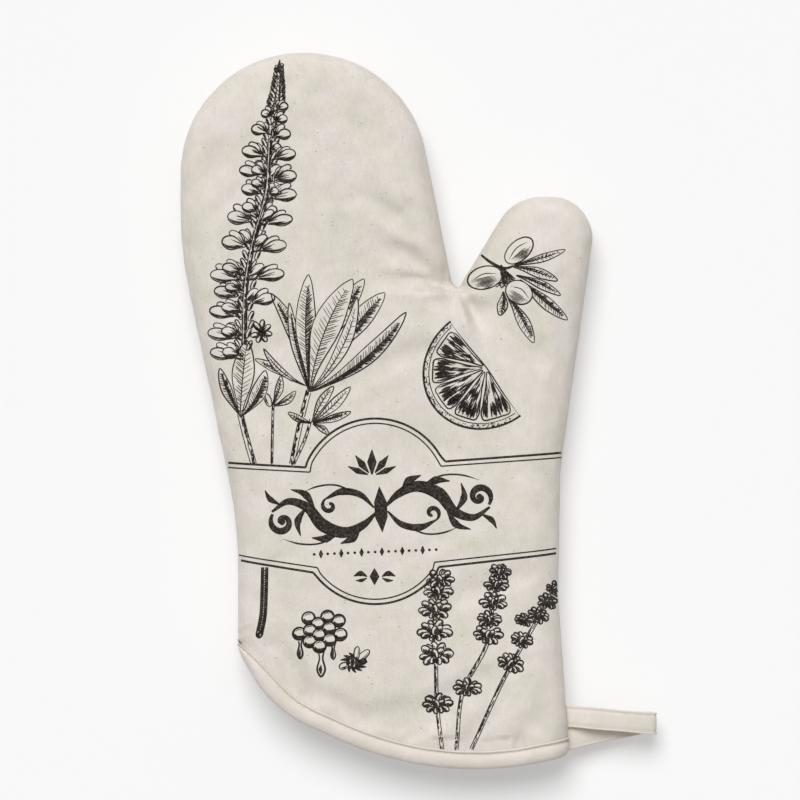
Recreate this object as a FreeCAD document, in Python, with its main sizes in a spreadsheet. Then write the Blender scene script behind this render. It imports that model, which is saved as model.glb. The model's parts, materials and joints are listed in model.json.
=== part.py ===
"""Oven mitt: canvas shell, batting and lining, bound cuff, tape hanging loop.

The mitt lies on its back. +X points to the thumb's side, +Y to the fingertips and +Z out of the
front. The origin is the middle of the whole object's box, on the surface that it lies on.
"""
import FreeCAD, Part
import math
import os

V = FreeCAD.Vector

doc = FreeCAD.newDocument("oven_mitt")

# ------------------------------------------------------------------ driving dimensions, mm
SIZES = [
    ("mitt_length", 330.0),       # fingertips to the lowest point of the hem
    ("overall_width", 220.0),     # little-finger side to the end of the hanging loop
    ("thickness", 30.0),          # lying flat, both panels and the hollow between them
    ("edge_round", 13.0),         # how the panels roll round into the side seam
    ("shell_cloth", 0.8),
    ("batting_loft", 3.8),
    ("lining_cloth", 0.8),
    ("tape_cloth", 0.8),          # one leg of the folded binding
    ("binding_width", 8.0),
    ("fold_gap", 0.3),            # clearance between the sections at a fold line
    ("finger_fold_offset", 20.0),
    ("thumb_fold_offset", 12.0),
    ("hand_lean", 8.0),           # the fingers lean away from the thumb, degrees
    ("thumb_fold_lean", 45.0),    # the thumb's fold line against +X, degrees
    ("thread", 0.8),
    ("stitch_run", 3.0),
    ("stitch_pitch", 4.0),
    ("stitch_sink", 0.4),
    ("stitch_count", 36),
    ("loop_tape", 1.6),           # the tape folded and stitched, twice as thick as one leg
    ("loop_width", 10.0),
    ("loop_gap", 6.0),            # between the loop's two legs
    ("loop_stitch_rise", 0.3),
    ("loop_root_x", 69.5),        # where the loop leaves the side seam
    ("loop_sewn_in", 4.8),        # how much of the tape's end lies inside the seam
]

sheet = doc.addObject("Spreadsheet::Sheet", "Sizes")
for row, (alias, value) in enumerate(SIZES, start=1):
    sheet.set("A%d" % row, alias)
    sheet.set("B%d" % row, str(value))
    sheet.setAlias("B%d" % row, alias)
doc.recompute()


def size(alias):
    return float(sheet.get(alias))


# ------------------------------------------------------------------ outlines, as corners with radii
TOP = size("mitt_length") / 2
HEM = -size("mitt_length") / 2
LEFT = -size("overall_width") / 2
RIGHT = size("overall_width") / 2
MID = size("thickness") / 2
BEYOND = HEM - 50.0               # the pillows run on past the hem, which then cuts them
CLEAR = 10.0                      # how far a cutting shape reaches past what it cuts
FAR = 140.0                       # past the mitt on either side

CUFF_LEFT = -83.5
CROTCH = V(16.3, 53.0, 0)

# The mitt's seam line, counter-clockwise: x, y and the radius that rounds the corner.
SEAM_LINE = [
    (CUFF_LEFT, BEYOND, 20.0),
    (73.0, BEYOND, 20.0),
    (64.2, -86.0, 150.0),         # the cuff's thumb side comes in a little
    (65.0, -28.0, 150.0),
    (82.8, 98.6, 19.0),           # thumb tip, outer corner
    (44.0, 98.6, 22.0),           # thumb tip, inner corner
    (CROTCH.x, CROTCH.y, 2.0),
    (-6.3, TOP, 56.0),            # fingertips
    (LEFT, TOP, 56.0),
    (LEFT, 74.0, 200.0),
    (CUFF_LEFT, -52.0, 200.0),
]

# The hem, left to right, with the space below it closed off far from the mitt.
BELOW_HEM = [
    (-160.0, -260.0, 0.0),
    (160.0, -260.0, 0.0),
    (160.0, -141.5, 0.0),
    (8.0, -171.2, 150.0),
    (-66.6, -138.3, 60.0),
    (-160.0, 11.0, 0.0),
]


def edge_normal(start, end):
    """Unit normal that points into a counter-clockwise outline from this side."""
    along = math.hypot(end[0] - start[0], end[1] - start[1])
    return ((start[1] - end[1]) / along, (end[0] - start[0]) / along)


def inset(corners, depth):
    """The same outline with every side moved inwards by depth, and its radii to match."""
    moved = []
    count = len(corners)
    for i in range(count):
        before, here, after = corners[i - 1], corners[i], corners[(i + 1) % count]
        n1 = edge_normal(before, here)
        n2 = edge_normal(here, after)
        share = 1.0 + n1[0] * n2[0] + n1[1] * n2[1]
        x = here[0] + depth * (n1[0] + n2[0]) / share
        y = here[1] + depth * (n1[1] + n2[1]) / share
        turn = n1[0] * n2[1] - n1[1] * n2[0]
        radius = here[2]
        if radius > 0:
            radius += -depth if turn > 0 else depth
        moved.append((x, y, radius))
    return moved


def rounded_edges(corners):
    """Lines and tangent arcs that follow the corners, as geometry for a sketch."""
    starts, ends, arcs = [], [], []
    count = len(corners)
    for i in range(count):
        before = V(*corners[i - 1][:2], 0)
        here = V(*corners[i][:2], 0)
        after = V(*corners[(i + 1) % count][:2], 0)
        radius = corners[i][2]
        back = (before - here).normalize()
        ahead = (after - here).normalize()
        half = back.getAngle(ahead) / 2
        reach = radius / math.tan(half)
        first = here + back * reach
        last = here + ahead * reach
        starts.append(first)
        ends.append(last)
        if radius > 0:
            bisector = (back + ahead).normalize()
            centre = here + bisector * (radius / math.sin(half))
            arcs.append(Part.Arc(first, centre - bisector * radius, last))
        else:
            arcs.append(None)
    edges = []
    for i in range(count):
        if arcs[i] is not None:
            edges.append(arcs[i])
        nxt = (i + 1) % count
        if (starts[nxt] - ends[i]).Length > 1e-6:
            edges.append(Part.LineSegment(ends[i], starts[nxt]))
    return edges


# ------------------------------------------------------------------ helpers for document objects
def bind(obj, prop, expression):
    obj.setExpression(prop, expression)


def prism(name, corners, length, offset="0"):
    """A PartDesign body: the outline padded upwards by length from the height offset."""
    body = doc.addObject("PartDesign::Body", name)
    sketch = body.newObject("Sketcher::SketchObject", name + "_sketch")
    plane = [f for f in body.Origin.OriginFeatures if f.Role == "XY_Plane"][0]
    sketch.AttachmentSupport = (plane, [""])
    sketch.MapMode = "FlatFace"
    for edge in rounded_edges(corners):
        sketch.addGeometry(edge, False)
    bind(sketch, "AttachmentOffset.Base.z", offset)
    pad = body.newObject("PartDesign::Pad", name + "_pad")
    pad.Profile = sketch
    bind(pad, "Length", length)
    return body, pad


def pillow(name, depth_words):
    """A closed pillow: the mitt's outer form, shrunk on every side by the depth."""
    depth_cell = doc.addObject("App::FeaturePython", name + "_depth")
    depth_cell.addProperty("App::PropertyFloat", "Depth")
    bind(depth_cell, "Depth", depth_words)
    doc.recompute()
    depth = depth_cell.Depth
    height = "Sizes.thickness - 2 * %s_depth.Depth" % name
    body, pad = prism(name, inset(SEAM_LINE, depth), height, "%s_depth.Depth" % name)
    doc.recompute()
    flat_edges = []
    for number, edge in enumerate(pad.Shape.Edges, start=1):
        if edge.BoundBox.ZLength < 1e-6:
            flat_edges.append("Edge%d" % number)
    roll = body.newObject("PartDesign::Fillet", name + "_roll")
    roll.Base = (pad, flat_edges)
    bind(roll, "Radius", "Sizes.edge_round - %s_depth.Depth" % name)
    return body


def below(name, rise):
    """Everything below the hem line raised by rise, through the whole thickness."""
    height = "Sizes.thickness + %g" % (2 * CLEAR)
    return prism(name, inset(BELOW_HEM, -rise), height, "%g" % -CLEAR)[0]


def cut(name, base, tool):
    obj = doc.addObject("Part::Cut", name)
    obj.Base = base
    obj.Tool = tool
    return obj


def common(name, base, tool):
    obj = doc.addObject("Part::Common", name)
    obj.Base = base
    obj.Tool = tool
    return obj


def fuse(name, *shapes):
    obj = doc.addObject("Part::MultiFuse", name)
    obj.Shapes = list(shapes)
    return obj


PARTS = {}


def sub_part(node, obj):
    obj.Label = node
    PARTS[node] = obj
    return obj


# ------------------------------------------------------------------ pillows, outermost first
SHELL = "Sizes.shell_cloth"
BATT = "Sizes.batting_loft"
LINE = "Sizes.lining_cloth"
TAPE = "Sizes.tape_cloth"

skin_0 = pillow("skin_0", "0")
skin_stitch = pillow("skin_stitch", "Sizes.stitch_sink")
skin_1 = pillow("skin_1", SHELL)
skin_2 = pillow("skin_2", TAPE + " + " + SHELL)
skin_3 = pillow("skin_3", " + ".join((SHELL, BATT)) + " - " + TAPE)
skin_4 = pillow("skin_4", " + ".join((SHELL, BATT)))
skin_5 = pillow("skin_5", " + ".join((SHELL, BATT, LINE)))

# ------------------------------------------------------------------ lines parallel to the hem
WRAP = size("tape_cloth")
BAND = size("binding_width")
below_hem = below("below_hem", 0.0)
below_raw_edge = below("below_raw_edge", WRAP)
below_band = below("below_band", BAND)
below_step = below("below_step", BAND + WRAP)
below_stitch_low = below("below_stitch_low", BAND - 2 * size("thread"))
below_stitch_high = below("below_stitch_high", BAND - size("thread"))

# ------------------------------------------------------------------ the three layers of each wall
# Under the binding the shell and the lining are squeezed together by one tape thickness each.
outer_face = fuse("outer_face", cut("shell_above_band", skin_0, below_band), skin_1)
shell_face = fuse("shell_face", cut("batting_above_step", skin_1, below_step), skin_2)
batting_face = fuse("batting_face", skin_4, common("lining_in_step", skin_3, below_step))
lining_face = fuse("lining_face", skin_5, common("hollow_in_band", skin_4, below_band))


def layer(name, outside, inside):
    return cut(name, cut(name + "_uncut", outside, inside), below_raw_edge)


shell_layer = layer("shell_layer", outer_face, shell_face)
batting_solid = layer("batting_solid", shell_face, batting_face)
lining_layer = layer("lining_layer", batting_face, lining_face)

# ------------------------------------------------------------------ the side seam's thread
seam_slab = doc.addObject("Part::Box", "seam_slab")
bind(seam_slab, "Length", "Sizes.overall_width + %g" % (2 * CLEAR))
bind(seam_slab, "Width", "Sizes.mitt_length + %g" % (2 * CLEAR))
bind(seam_slab, "Height", "Sizes.thread")
bind(seam_slab, "Placement.Base.x", "-Sizes.overall_width / 2 - %g" % CLEAR)
bind(seam_slab, "Placement.Base.y", "-Sizes.mitt_length / 2 - %g" % CLEAR)
bind(seam_slab, "Placement.Base.z", "(Sizes.thickness - Sizes.thread) / 2")
seam_ring = cut("seam_ring", skin_1, skin_2)
seam_line = common("seam_line", cut("seam_above_band", seam_ring, below_step), seam_slab)

# ------------------------------------------------------------------ the loop's sewn-in tape end
LOOP_TOP_ROOT = (-146.5, -136.5)  # y of the front leg where it leaves the seam
LOOP_LOW_ROOT = (-157.0, -147.0)  # y of the back leg, which the binding runs on into
LOOP_END = (-149.5, -139.5)       # y of both legs at the folded end

tape_end = doc.addObject("Part::Box", "tape_end")
bind(tape_end, "Length", "Sizes.loop_sewn_in")
bind(tape_end, "Width", "Sizes.loop_width")
bind(tape_end, "Height", "Sizes.loop_tape")
tape_end.Placement.Base = V(0, LOOP_TOP_ROOT[0], 0)
bind(tape_end, "Placement.Base.x", "Sizes.loop_root_x - Sizes.fold_gap - Sizes.loop_sewn_in")
bind(tape_end, "Placement.Base.z", "Sizes.thickness / 2")
sub_part("loop_tape_end", tape_end)

batting_slit = cut("batting_slit", batting_solid, seam_line)
batting_layer = cut("batting_layer", batting_slit, tape_end)
shell_slit = cut("shell_slit", shell_layer, tape_end)
seam_thread = cut("seam_thread", seam_line, tape_end)

# ------------------------------------------------------------------ fold lines and sections
lean = math.radians(size("hand_lean"))
HAND = V(-math.sin(lean), math.cos(lean), 0)
FINGER_LINE = V(math.cos(lean), math.sin(lean), 0)
slope = math.radians(size("thumb_fold_lean"))
THUMB = V(math.sin(slope), math.cos(slope), 0)
THUMB_LINE = V(math.cos(slope), -math.sin(slope), 0)
FINGER_POINT = CROTCH + HAND * size("finger_fold_offset")
THUMB_POINT = CROTCH + THUMB * size("thumb_fold_offset")
NOTCH_X = 17.5                    # a line up through the open notch between fingers and thumb


def on_line(point, direction, x):
    """The point of a fold line at this x."""
    return V(x, point.y + (x - point.x) * direction.y / direction.x, 0)


def sharp(points):
    return [(p.x, p.y, 0.0) for p in points]


def palm_zone():
    finger_near = FINGER_POINT - HAND * (size("fold_gap") / 2)
    thumb_near = THUMB_POINT - THUMB * (size("fold_gap") / 2)
    return sharp([
        V(-FAR, BEYOND - CLEAR, 0),
        V(FAR, BEYOND - CLEAR, 0),
        on_line(thumb_near, THUMB_LINE, FAR),
        on_line(thumb_near, THUMB_LINE, NOTCH_X),
        on_line(finger_near, FINGER_LINE, NOTCH_X),
        on_line(finger_near, FINGER_LINE, -FAR),
    ])


def fingers_zone():
    near = FINGER_POINT + HAND * (size("fold_gap") / 2)
    return sharp([
        on_line(near, FINGER_LINE, -FAR),
        on_line(near, FINGER_LINE, NOTCH_X),
        V(NOTCH_X, TOP + CLEAR, 0),
        V(-FAR, TOP + CLEAR, 0),
    ])


def thumb_zone():
    near = THUMB_POINT + THUMB * (size("fold_gap") / 2)
    return sharp([
        on_line(near, THUMB_LINE, NOTCH_X),
        on_line(near, THUMB_LINE, FAR),
        V(FAR, TOP, 0),
        V(NOTCH_X, TOP, 0),
    ])


SECTIONS = {"palm": palm_zone(), "fingers": fingers_zone(), "thumb": thumb_zone()}
HALVES = {"front": "Sizes.thickness / 2", "back": "%g" % -CLEAR}
HALF_HEIGHT = "Sizes.thickness / 2 + %g" % CLEAR
LAYERS = {"shell": shell_slit, "batting": batting_layer, "lining": lining_layer}

for section, corners in SECTIONS.items():
    for half, offset in HALVES.items():
        zone = prism("zone_%s_%s" % (half, section), corners, HALF_HEIGHT, offset)[0]
        for name, whole in LAYERS.items():
            node = "%s_%s_%s" % (half, name, section)
            sub_part(node, common("cut_" + node, whole, zone))
    through = prism("zone_seam_" + section, corners, "Sizes.thickness", "0")[0]
    sub_part("side_seam_thread_" + section, common("cut_thread_" + section, seam_thread, through))

# ------------------------------------------------------------------ binding and its stitches
FIRST_STITCH_X = CUFF_LEFT + 8.0
FIRST_STITCH_END = FIRST_STITCH_X + size("stitch_run")
tooth_corners = sharp([
    V(FIRST_STITCH_X, HEM - CLEAR, 0),
    V(FIRST_STITCH_END, HEM - CLEAR, 0),
    V(FIRST_STITCH_END, 0, 0),
    V(FIRST_STITCH_X, 0, 0),
])
comb, tooth = prism("stitch_comb", tooth_corners, "Sizes.thickness")
comb.AllowCompound = True
tooth_sketch = tooth.Profile[0]
doc.recompute()
teeth = comb.newObject("PartDesign::LinearPattern", "teeth")
teeth.Originals = [tooth]
teeth.Direction = (tooth_sketch, ["H_Axis"])
bind(teeth, "Occurrences", "Sizes.stitch_count")
bind(teeth, "Length", "(Sizes.stitch_count - 1) * Sizes.stitch_pitch")
comb.Tip = teeth

stitch_ring = cut("stitch_ring", skin_0, skin_stitch)
stitch_strip = cut("stitch_strip", below_stitch_high, below_stitch_low)
stitch_line = common("stitch_line", stitch_ring, stitch_strip)
stitches = sub_part("binding_stitching", common("stitches", stitch_line, comb))

sandwich = cut("sandwich", cut("sandwich_uncut", outer_face, lining_face), below_raw_edge)
wrap_wall = cut("wrap_wall", skin_0, skin_5)
wrap_band = cut("wrap_band", common("wrap_strip", wrap_wall, below_band), below_hem)
wrap = cut("wrap", wrap_band, sandwich)
sub_part("cuff_binding", cut("wrap_stitched", wrap, stitches))

# ------------------------------------------------------------------ hanging loop
ROOT_X = size("loop_root_x")
BELLY_X = 80.0                    # where the legs stand their full gap apart
ROOT_GAP = 0.4                    # between the legs where they leave the seam
PLY = size("loop_tape")
FOLD_R = size("loop_gap") / 2 + PLY
FOLD_X = RIGHT - FOLD_R


def across(x, y_pair, z_low):
    """A closed rectangle across the tape, as one section of a leg."""
    low, high = y_pair
    corners = [V(x, low, z_low), V(x, high, z_low), V(x, high, z_low + PLY), V(x, low, z_low + PLY)]
    return Part.makePolygon(corners + corners[:1])


def between(a, b, x):
    part = (x - ROOT_X) / (FOLD_X - ROOT_X)
    return (a[0] + (b[0] - a[0]) * part, a[1] + (b[1] - a[1]) * part)


def leg(name, root_y, root_z, belly_z):
    """One leg of the loop: it leaves the seam, swells away from the other leg, runs to the fold."""
    obj = doc.addObject("Part::Loft", name)
    places = [(ROOT_X, root_z), (BELLY_X, belly_z), (FOLD_X, belly_z)]
    for number, (x, z) in enumerate(places):
        wire = doc.addObject("Part::Feature", "%s_section_%d" % (name, number))
        wire.Shape = across(x, between(root_y, LOOP_END, x), z)
        obj.Sections = obj.Sections + [wire]
    obj.Solid = True
    obj.Ruled = True
    return obj


TOP_LEG_Z = MID + size("loop_gap") / 2
front_leg = leg("front_leg", LOOP_TOP_ROOT, MID, TOP_LEG_Z)
LOW_LEG_Z = MID - size("loop_gap") / 2 - PLY
back_leg = leg("back_leg", LOOP_LOW_ROOT, MID - PLY - ROOT_GAP, LOW_LEG_Z)

fold_out = doc.addObject("Part::Cylinder", "fold_out")
fold_in = doc.addObject("Part::Cylinder", "fold_in")
bind(fold_out, "Radius", "Sizes.loop_gap / 2 + Sizes.loop_tape")
bind(fold_in, "Radius", "Sizes.loop_gap / 2")
for drum in (fold_out, fold_in):
    bind(drum, "Height", "Sizes.loop_width")
    drum.Angle = 180
    drum.Placement = FreeCAD.Placement(
        V(FOLD_X, LOOP_END[0], MID),
        FreeCAD.Rotation(V(0, 0, 1), V(1, 0, 0), V(0, 1, 0), "ZXY"))
loop_fold = cut("loop_fold", fold_out, fold_in)
sub_part("hanging_loop", fuse("loop_tape_run", front_leg, back_leg, loop_fold))

EDGE_MARGIN = 1.2                 # from the tape's edge to its row of stitches
LOOP_STITCH = 2.2
LOOP_STITCH_PITCH = 3.2
loop_stitches = []
for from_edge, root_edge in ((EDGE_MARGIN, 0), (-EDGE_MARGIN, 1)):
    x = BELLY_X + 1.0
    while x + LOOP_STITCH < FOLD_X:
        y = between(LOOP_TOP_ROOT, LOOP_END, x)[root_edge] + from_edge
        dash = doc.addObject("Part::Box", "loop_dash")
        dash.Length = LOOP_STITCH
        bind(dash, "Width", "Sizes.thread / 2")
        bind(dash, "Height", "Sizes.loop_stitch_rise")
        dash.Placement.Base = V(x, y - size("thread") / 4, TOP_LEG_Z + PLY)
        loop_stitches.append(dash)
        x += LOOP_STITCH_PITCH
loop_rows = doc.addObject("Part::Compound", "loop_rows")
loop_rows.Links = loop_stitches
sub_part("loop_edge_stitching", loop_rows)

# ------------------------------------------------------------------ check, report and write
doc.recompute()
for obj in doc.Objects:
    for state in ("Invalid", "Error"):
        if state in obj.State:
            raise RuntimeError("%s is %s" % (obj.Name, state))
for node, obj in PARTS.items():
    if obj.Shape.isNull() or not obj.Shape.isValid() or not obj.Shape.Solids:
        raise RuntimeError("%s has no valid solid" % node)

os.makedirs("parts", exist_ok=True)
box = FreeCAD.BoundBox()
for node, obj in PARTS.items():
    obj.Shape.exportStep("parts/%s.step" % node)
    box.add(obj.Shape.optimalBoundingBox(False))
    print("%-28s solids %3d  volume %9.1f mm3" % (node, len(obj.Shape.Solids), obj.Shape.Volume))
print("box", [round(v, 2) for v in (box.XMin, box.XMax, box.YMin, box.YMax, box.ZMin, box.ZMax)])
print("finger fold at", FINGER_POINT, "along", FINGER_LINE)
print("thumb fold at", THUMB_POINT, "along", THUMB_LINE)
print("loop hinge at x", ROOT_X)
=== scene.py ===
"""Oven mitt: the looks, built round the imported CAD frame.

Shapes are worked out in millimetres, in the frame's own axes: +X to the thumb's side, +Y to the
fingertips, +Z out of the printed front. A mesh is turned into metres when it is made.
"""

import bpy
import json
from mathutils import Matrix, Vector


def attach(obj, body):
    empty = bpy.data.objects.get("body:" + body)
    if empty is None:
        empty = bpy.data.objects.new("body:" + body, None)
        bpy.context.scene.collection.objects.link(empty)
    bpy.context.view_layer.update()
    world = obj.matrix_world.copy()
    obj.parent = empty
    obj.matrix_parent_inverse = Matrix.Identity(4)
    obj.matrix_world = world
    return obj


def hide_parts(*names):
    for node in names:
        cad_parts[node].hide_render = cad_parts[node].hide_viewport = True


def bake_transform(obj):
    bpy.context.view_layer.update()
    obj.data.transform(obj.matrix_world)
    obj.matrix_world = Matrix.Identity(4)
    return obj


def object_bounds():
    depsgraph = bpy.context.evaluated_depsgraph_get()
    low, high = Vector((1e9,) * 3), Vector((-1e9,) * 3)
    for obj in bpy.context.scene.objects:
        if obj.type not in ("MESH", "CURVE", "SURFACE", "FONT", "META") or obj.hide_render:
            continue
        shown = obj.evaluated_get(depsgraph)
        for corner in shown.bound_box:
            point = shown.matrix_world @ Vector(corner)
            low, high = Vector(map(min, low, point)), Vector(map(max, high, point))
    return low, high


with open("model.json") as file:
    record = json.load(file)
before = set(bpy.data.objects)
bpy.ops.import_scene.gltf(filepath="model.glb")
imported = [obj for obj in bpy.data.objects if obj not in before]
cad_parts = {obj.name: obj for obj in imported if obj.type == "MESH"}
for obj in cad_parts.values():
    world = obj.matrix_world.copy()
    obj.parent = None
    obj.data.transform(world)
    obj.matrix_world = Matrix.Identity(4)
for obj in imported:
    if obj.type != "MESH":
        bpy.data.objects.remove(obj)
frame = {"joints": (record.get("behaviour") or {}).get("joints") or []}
cad_box = [list(corner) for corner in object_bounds()]

import contextlib
import json
import math

import bmesh
import bpy
import numpy as np
from mathutils import Vector
from mathutils.bvhtree import BVHTree

MM = 0.001
joints = {j["name"]: j for j in frame["joints"]}

# ------------------------------------------------------------------ sizes from the frame, mm
BOX_LOW = np.array(cad_box[0]) / MM
BOX_HIGH = np.array(cad_box[1]) / MM
TOP, HEM, LEFT, RIGHT = BOX_HIGH[1], BOX_LOW[1], BOX_LOW[0], BOX_HIGH[0]
THICK = BOX_HIGH[2]
MID = THICK / 2

# ------------------------------------------------------------------ sizes of the cloth, mm
ROLL = 13.0                       # how the panels roll round into the side seam
SHELL = 0.8
BATTING = 3.8
LINING = 0.8
TAPE = 0.8                        # one leg of the folded binding
WALL = SHELL + BATTING + LINING
BAND = 8.0                        # width of the binding
VOXEL = 2.3
CUFF_LEFT = -83.5
CUFF_RIGHT = 70.0
THUMB_BEND = 30.0                 # length of the stretch that bends with the thumb
FINGER_BEND = 48.0                # and with the fingers
FINGER_BEND_BELOW = 20.0          # how far below the hinge it starts
BATTING_GIVE = -1.9               # the batting is thinner under the binding, in its squeezes
PUCKER_GAIN = 1.5
SEAM_CREASE = 1.5                 # depth of the side seam's crease
CROTCH = (16.3, 53.0)
BEYOND = HEM - 16.0               # the skin is made longer than the hem, then cut
CLOTH_CLEAR = 0.02                # the cloth's least height over the table
BINDING_CLEAR = 0.03

SEAM_LINE = [                     # x, y and the radius that rounds the corner
    (CUFF_LEFT, BEYOND, 0.0),
    (71.0, BEYOND, 0.0),
    (64.2, -86.0, 150.0),
    (65.0, -28.0, 150.0),
    (82.8, 98.6, 19.0),
    (44.0, 98.6, 22.0),
    (CROTCH[0], CROTCH[1], 0.8),
    (-6.3, TOP, 56.0),
    (LEFT, TOP, 56.0),
    (LEFT, 74.0, 200.0),
    (CUFF_LEFT, -52.0, 200.0),
]
BELOW_HEM = [
    (-160.0, -260.0, 0.0),
    (160.0, -260.0, 0.0),
    (160.0, -141.5, 0.0),
    (8.0, -171.2, 150.0),
    (-66.6, -138.3, 60.0),
    (-160.0, 11.0, 0.0),
]


# ------------------------------------------------------------------ outlines and distances
def unit(v):
    """The same vectors at unit length."""
    return v / np.maximum(np.linalg.norm(v, axis=-1, keepdims=True), 1e-9)


def heading(angle):
    return np.array([math.cos(angle), math.sin(angle)])


def run_of(line):
    """How far along the line each of its points lies."""
    return np.concatenate([[0], np.cumsum(np.linalg.norm(np.diff(line, axis=0), axis=1))])


def at_run(line, run, wanted):
    """The line's rows at the wanted distances along it."""
    return np.column_stack([np.interp(wanted, run, column) for column in line.T])


def stretches(good, least=2):
    """Start and end of each stretch of true values that is long enough."""
    turns = np.flatnonzero(np.diff(np.concatenate([[0], good, [0]])))
    return [(a, b) for a, b in zip(turns[::2], turns[1::2]) if b - a >= least]


def inside(polygon, x, y):
    """Which of the points lie inside a closed polygon."""
    hit = np.zeros(np.shape(x), bool)
    for a, b in zip(polygon, np.roll(polygon, -1, axis=0)):
        if a[1] != b[1]:
            crosses = (a[1] > y) != (b[1] > y)
            hit ^= crosses & (x < (b[0] - a[0]) * (y - a[1]) / (b[1] - a[1]) + a[0])
    return hit


def rounded(corners):
    """Points about 1 mm apart along an outline given as corners with radii."""
    points = []
    for i, (x, y, radius) in enumerate(corners):
        here = np.array([x, y], float)
        if radius <= 0:
            points.append(here)
            continue
        back = unit(np.array(corners[i - 1][:2], float) - here)
        ahead = unit(np.array(corners[(i + 1) % len(corners)][:2], float) - here)
        half = math.acos(float(back @ ahead)) / 2
        centre = here + unit(back + ahead) * radius / math.sin(half)
        first = here + back * radius / math.tan(half) - centre
        last = here + ahead * radius / math.tan(half) - centre
        angle = math.atan2(first[1], first[0])
        turn = (math.atan2(last[1], last[0]) - angle + math.pi) % math.tau - math.pi
        parts = max(4, int(abs(turn) * radius))
        points += [centre + radius * heading(angle + turn * k / parts) for k in range(parts + 1)]
    return np.array(points)


class DistanceMap:
    """Signed distance to a closed outline, negative inside, read off a 1 mm grid."""

    def __init__(self, points, low, high):
        self.low = np.array(low, float)
        x, y = np.meshgrid(*(np.arange(low[k], high[k] + 1.0) for k in (0, 1)), indexing="ij")
        best = np.full(x.shape, 1e9)
        for a, b in zip(points, np.roll(points, -1, axis=0)):
            run = b - a
            t = ((x - a[0]) * run[0] + (y - a[1]) * run[1]) / max(float(run @ run), 1e-12)
            t = np.clip(t, 0, 1)
            best = np.minimum(best, (x - a[0] - t * run[0]) ** 2 + (y - a[1] - t * run[1]) ** 2)
        self.grid = np.where(inside(points, x, y), -1, 1) * np.sqrt(best)

    def at(self, x, y):
        fx = np.clip(x - self.low[0], 0, self.grid.shape[0] - 1.001)
        fy = np.clip(y - self.low[1], 0, self.grid.shape[1] - 1.001)
        ix, iy = fx.astype(int), fy.astype(int)
        tx, ty = fx - ix, fy - iy
        g = self.grid
        return ((g[ix, iy] * (1 - tx) + g[ix + 1, iy] * tx) * (1 - ty)
                + (g[ix, iy + 1] * (1 - tx) + g[ix + 1, iy + 1] * tx) * ty)


seam_points = rounded(SEAM_LINE)
outline = DistanceMap(seam_points, (-130, -200), (120, 185))
hem = DistanceMap(rounded(BELOW_HEM), (-130, -200), (120, -20))


def rise(x, y):
    """How far a point lies above the hem line."""
    return np.where(y > -25, 60.0, hem.at(x, y))


def rise_direction(x, y, reach=0.5):
    """Unit direction in plan in which the distance from the hem grows fastest."""
    return unit(np.column_stack([rise(x + reach, y) - rise(x - reach, y),
                                 rise(x, y + reach) - rise(x, y - reach), np.zeros_like(x)]))


def cloth_rise(p):
    """Height above the hem measured along the cloth, good near the hem."""
    n = slope(p)
    across = np.sum(n * rise_direction(p[:, 0], p[:, 1]), axis=1)
    return rise(p[:, 0], p[:, 1]) / np.maximum(1 - across ** 2, 0.12)


def pillow(p):
    """Signed distance to the mitt's plain outer form, negative inside the cloth."""
    across = outline.at(p[:, 0], p[:, 1]) + ROLL
    height = np.abs(p[:, 2] - MID) - MID + ROLL
    outside = np.hypot(np.maximum(across, 0), np.maximum(height, 0))
    return np.minimum(np.maximum(across, height), 0) + outside - ROLL


def slope(p, reach=0.4):
    """Unit outward direction of the pillow's distance."""
    steps = np.eye(3) * reach
    return unit(np.column_stack([pillow(p + step) - pillow(p - step) for step in steps]))


def onto(p, level=0.0, rounds=4):
    """Moves points onto the pillow's surface, or level millimetres outside it."""
    for _ in range(rounds):
        p = p - slope(p) * (pillow(p) - level)[:, None]
    return p


def smooth(t):
    t = np.clip(t, 0, 1)
    return t * t * (3 - 2 * t)


def waves(x, y, seed, scale):
    """A soft random surface of about unit height: a few plane waves with seeded directions."""
    rng = np.random.default_rng(seed)
    total = np.zeros_like(x)
    for _ in range(7):
        angle = rng.uniform(0, math.tau)
        length = scale * rng.uniform(0.7, 1.5)
        phase = rng.uniform(0, math.tau)
        total += np.sin((x * math.cos(angle) + y * math.sin(angle)) * math.tau / length + phase)
    return total / 3.5


def fold(x, y, start, end, width, height):
    """A ridge or, with a negative height, a valley that fades from its start to its end."""
    ax, ay = start
    bx, by = end[0] - ax, end[1] - ay
    run = bx * bx + by * by
    t = ((x - ax) * bx + (y - ay) * by) / run
    c = np.clip(t, 0, 1)
    off = np.hypot(x - ax - c * bx, y - ay - c * by)
    spread = width * (0.55 + 0.9 * c)
    return height * (1 - smooth(c)) * np.exp(-(off / spread) ** 2)


def folds(x, y, table, root=(0, 0)):
    """The sum of a table's folds, whose starts and ends are counted from the root."""
    return sum(fold(x, y, np.add(root, start), np.add(root, end), width, height)
               for start, end, width, height in table)


# ------------------------------------------------------------------ mesh helpers
def new_mesh(name, points, faces, material=None):
    """A mesh object from points in mm."""
    mesh = bpy.data.meshes.new(name)
    mesh.from_pydata((np.asarray(points, float) * MM).tolist(), [], [list(f) for f in faces])
    mesh.validate()
    obj = bpy.data.objects.new(name, mesh)
    bpy.context.scene.collection.objects.link(obj)
    mesh.polygons.foreach_set("use_smooth", [True] * len(mesh.polygons))
    if material is not None:
        mesh.materials.append(material)
    return obj


def lay_out(obj, flat):
    """Gives the mesh a UV map from a flat place, in mm, for each of its points."""
    mesh = obj.data
    layer = mesh.uv_layers.new(name="cloth")
    index = np.empty(len(mesh.loops), int)
    mesh.loops.foreach_get("vertex_index", index)
    layer.data.foreach_set("uv", (np.asarray(flat)[index] * MM).ravel())


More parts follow.
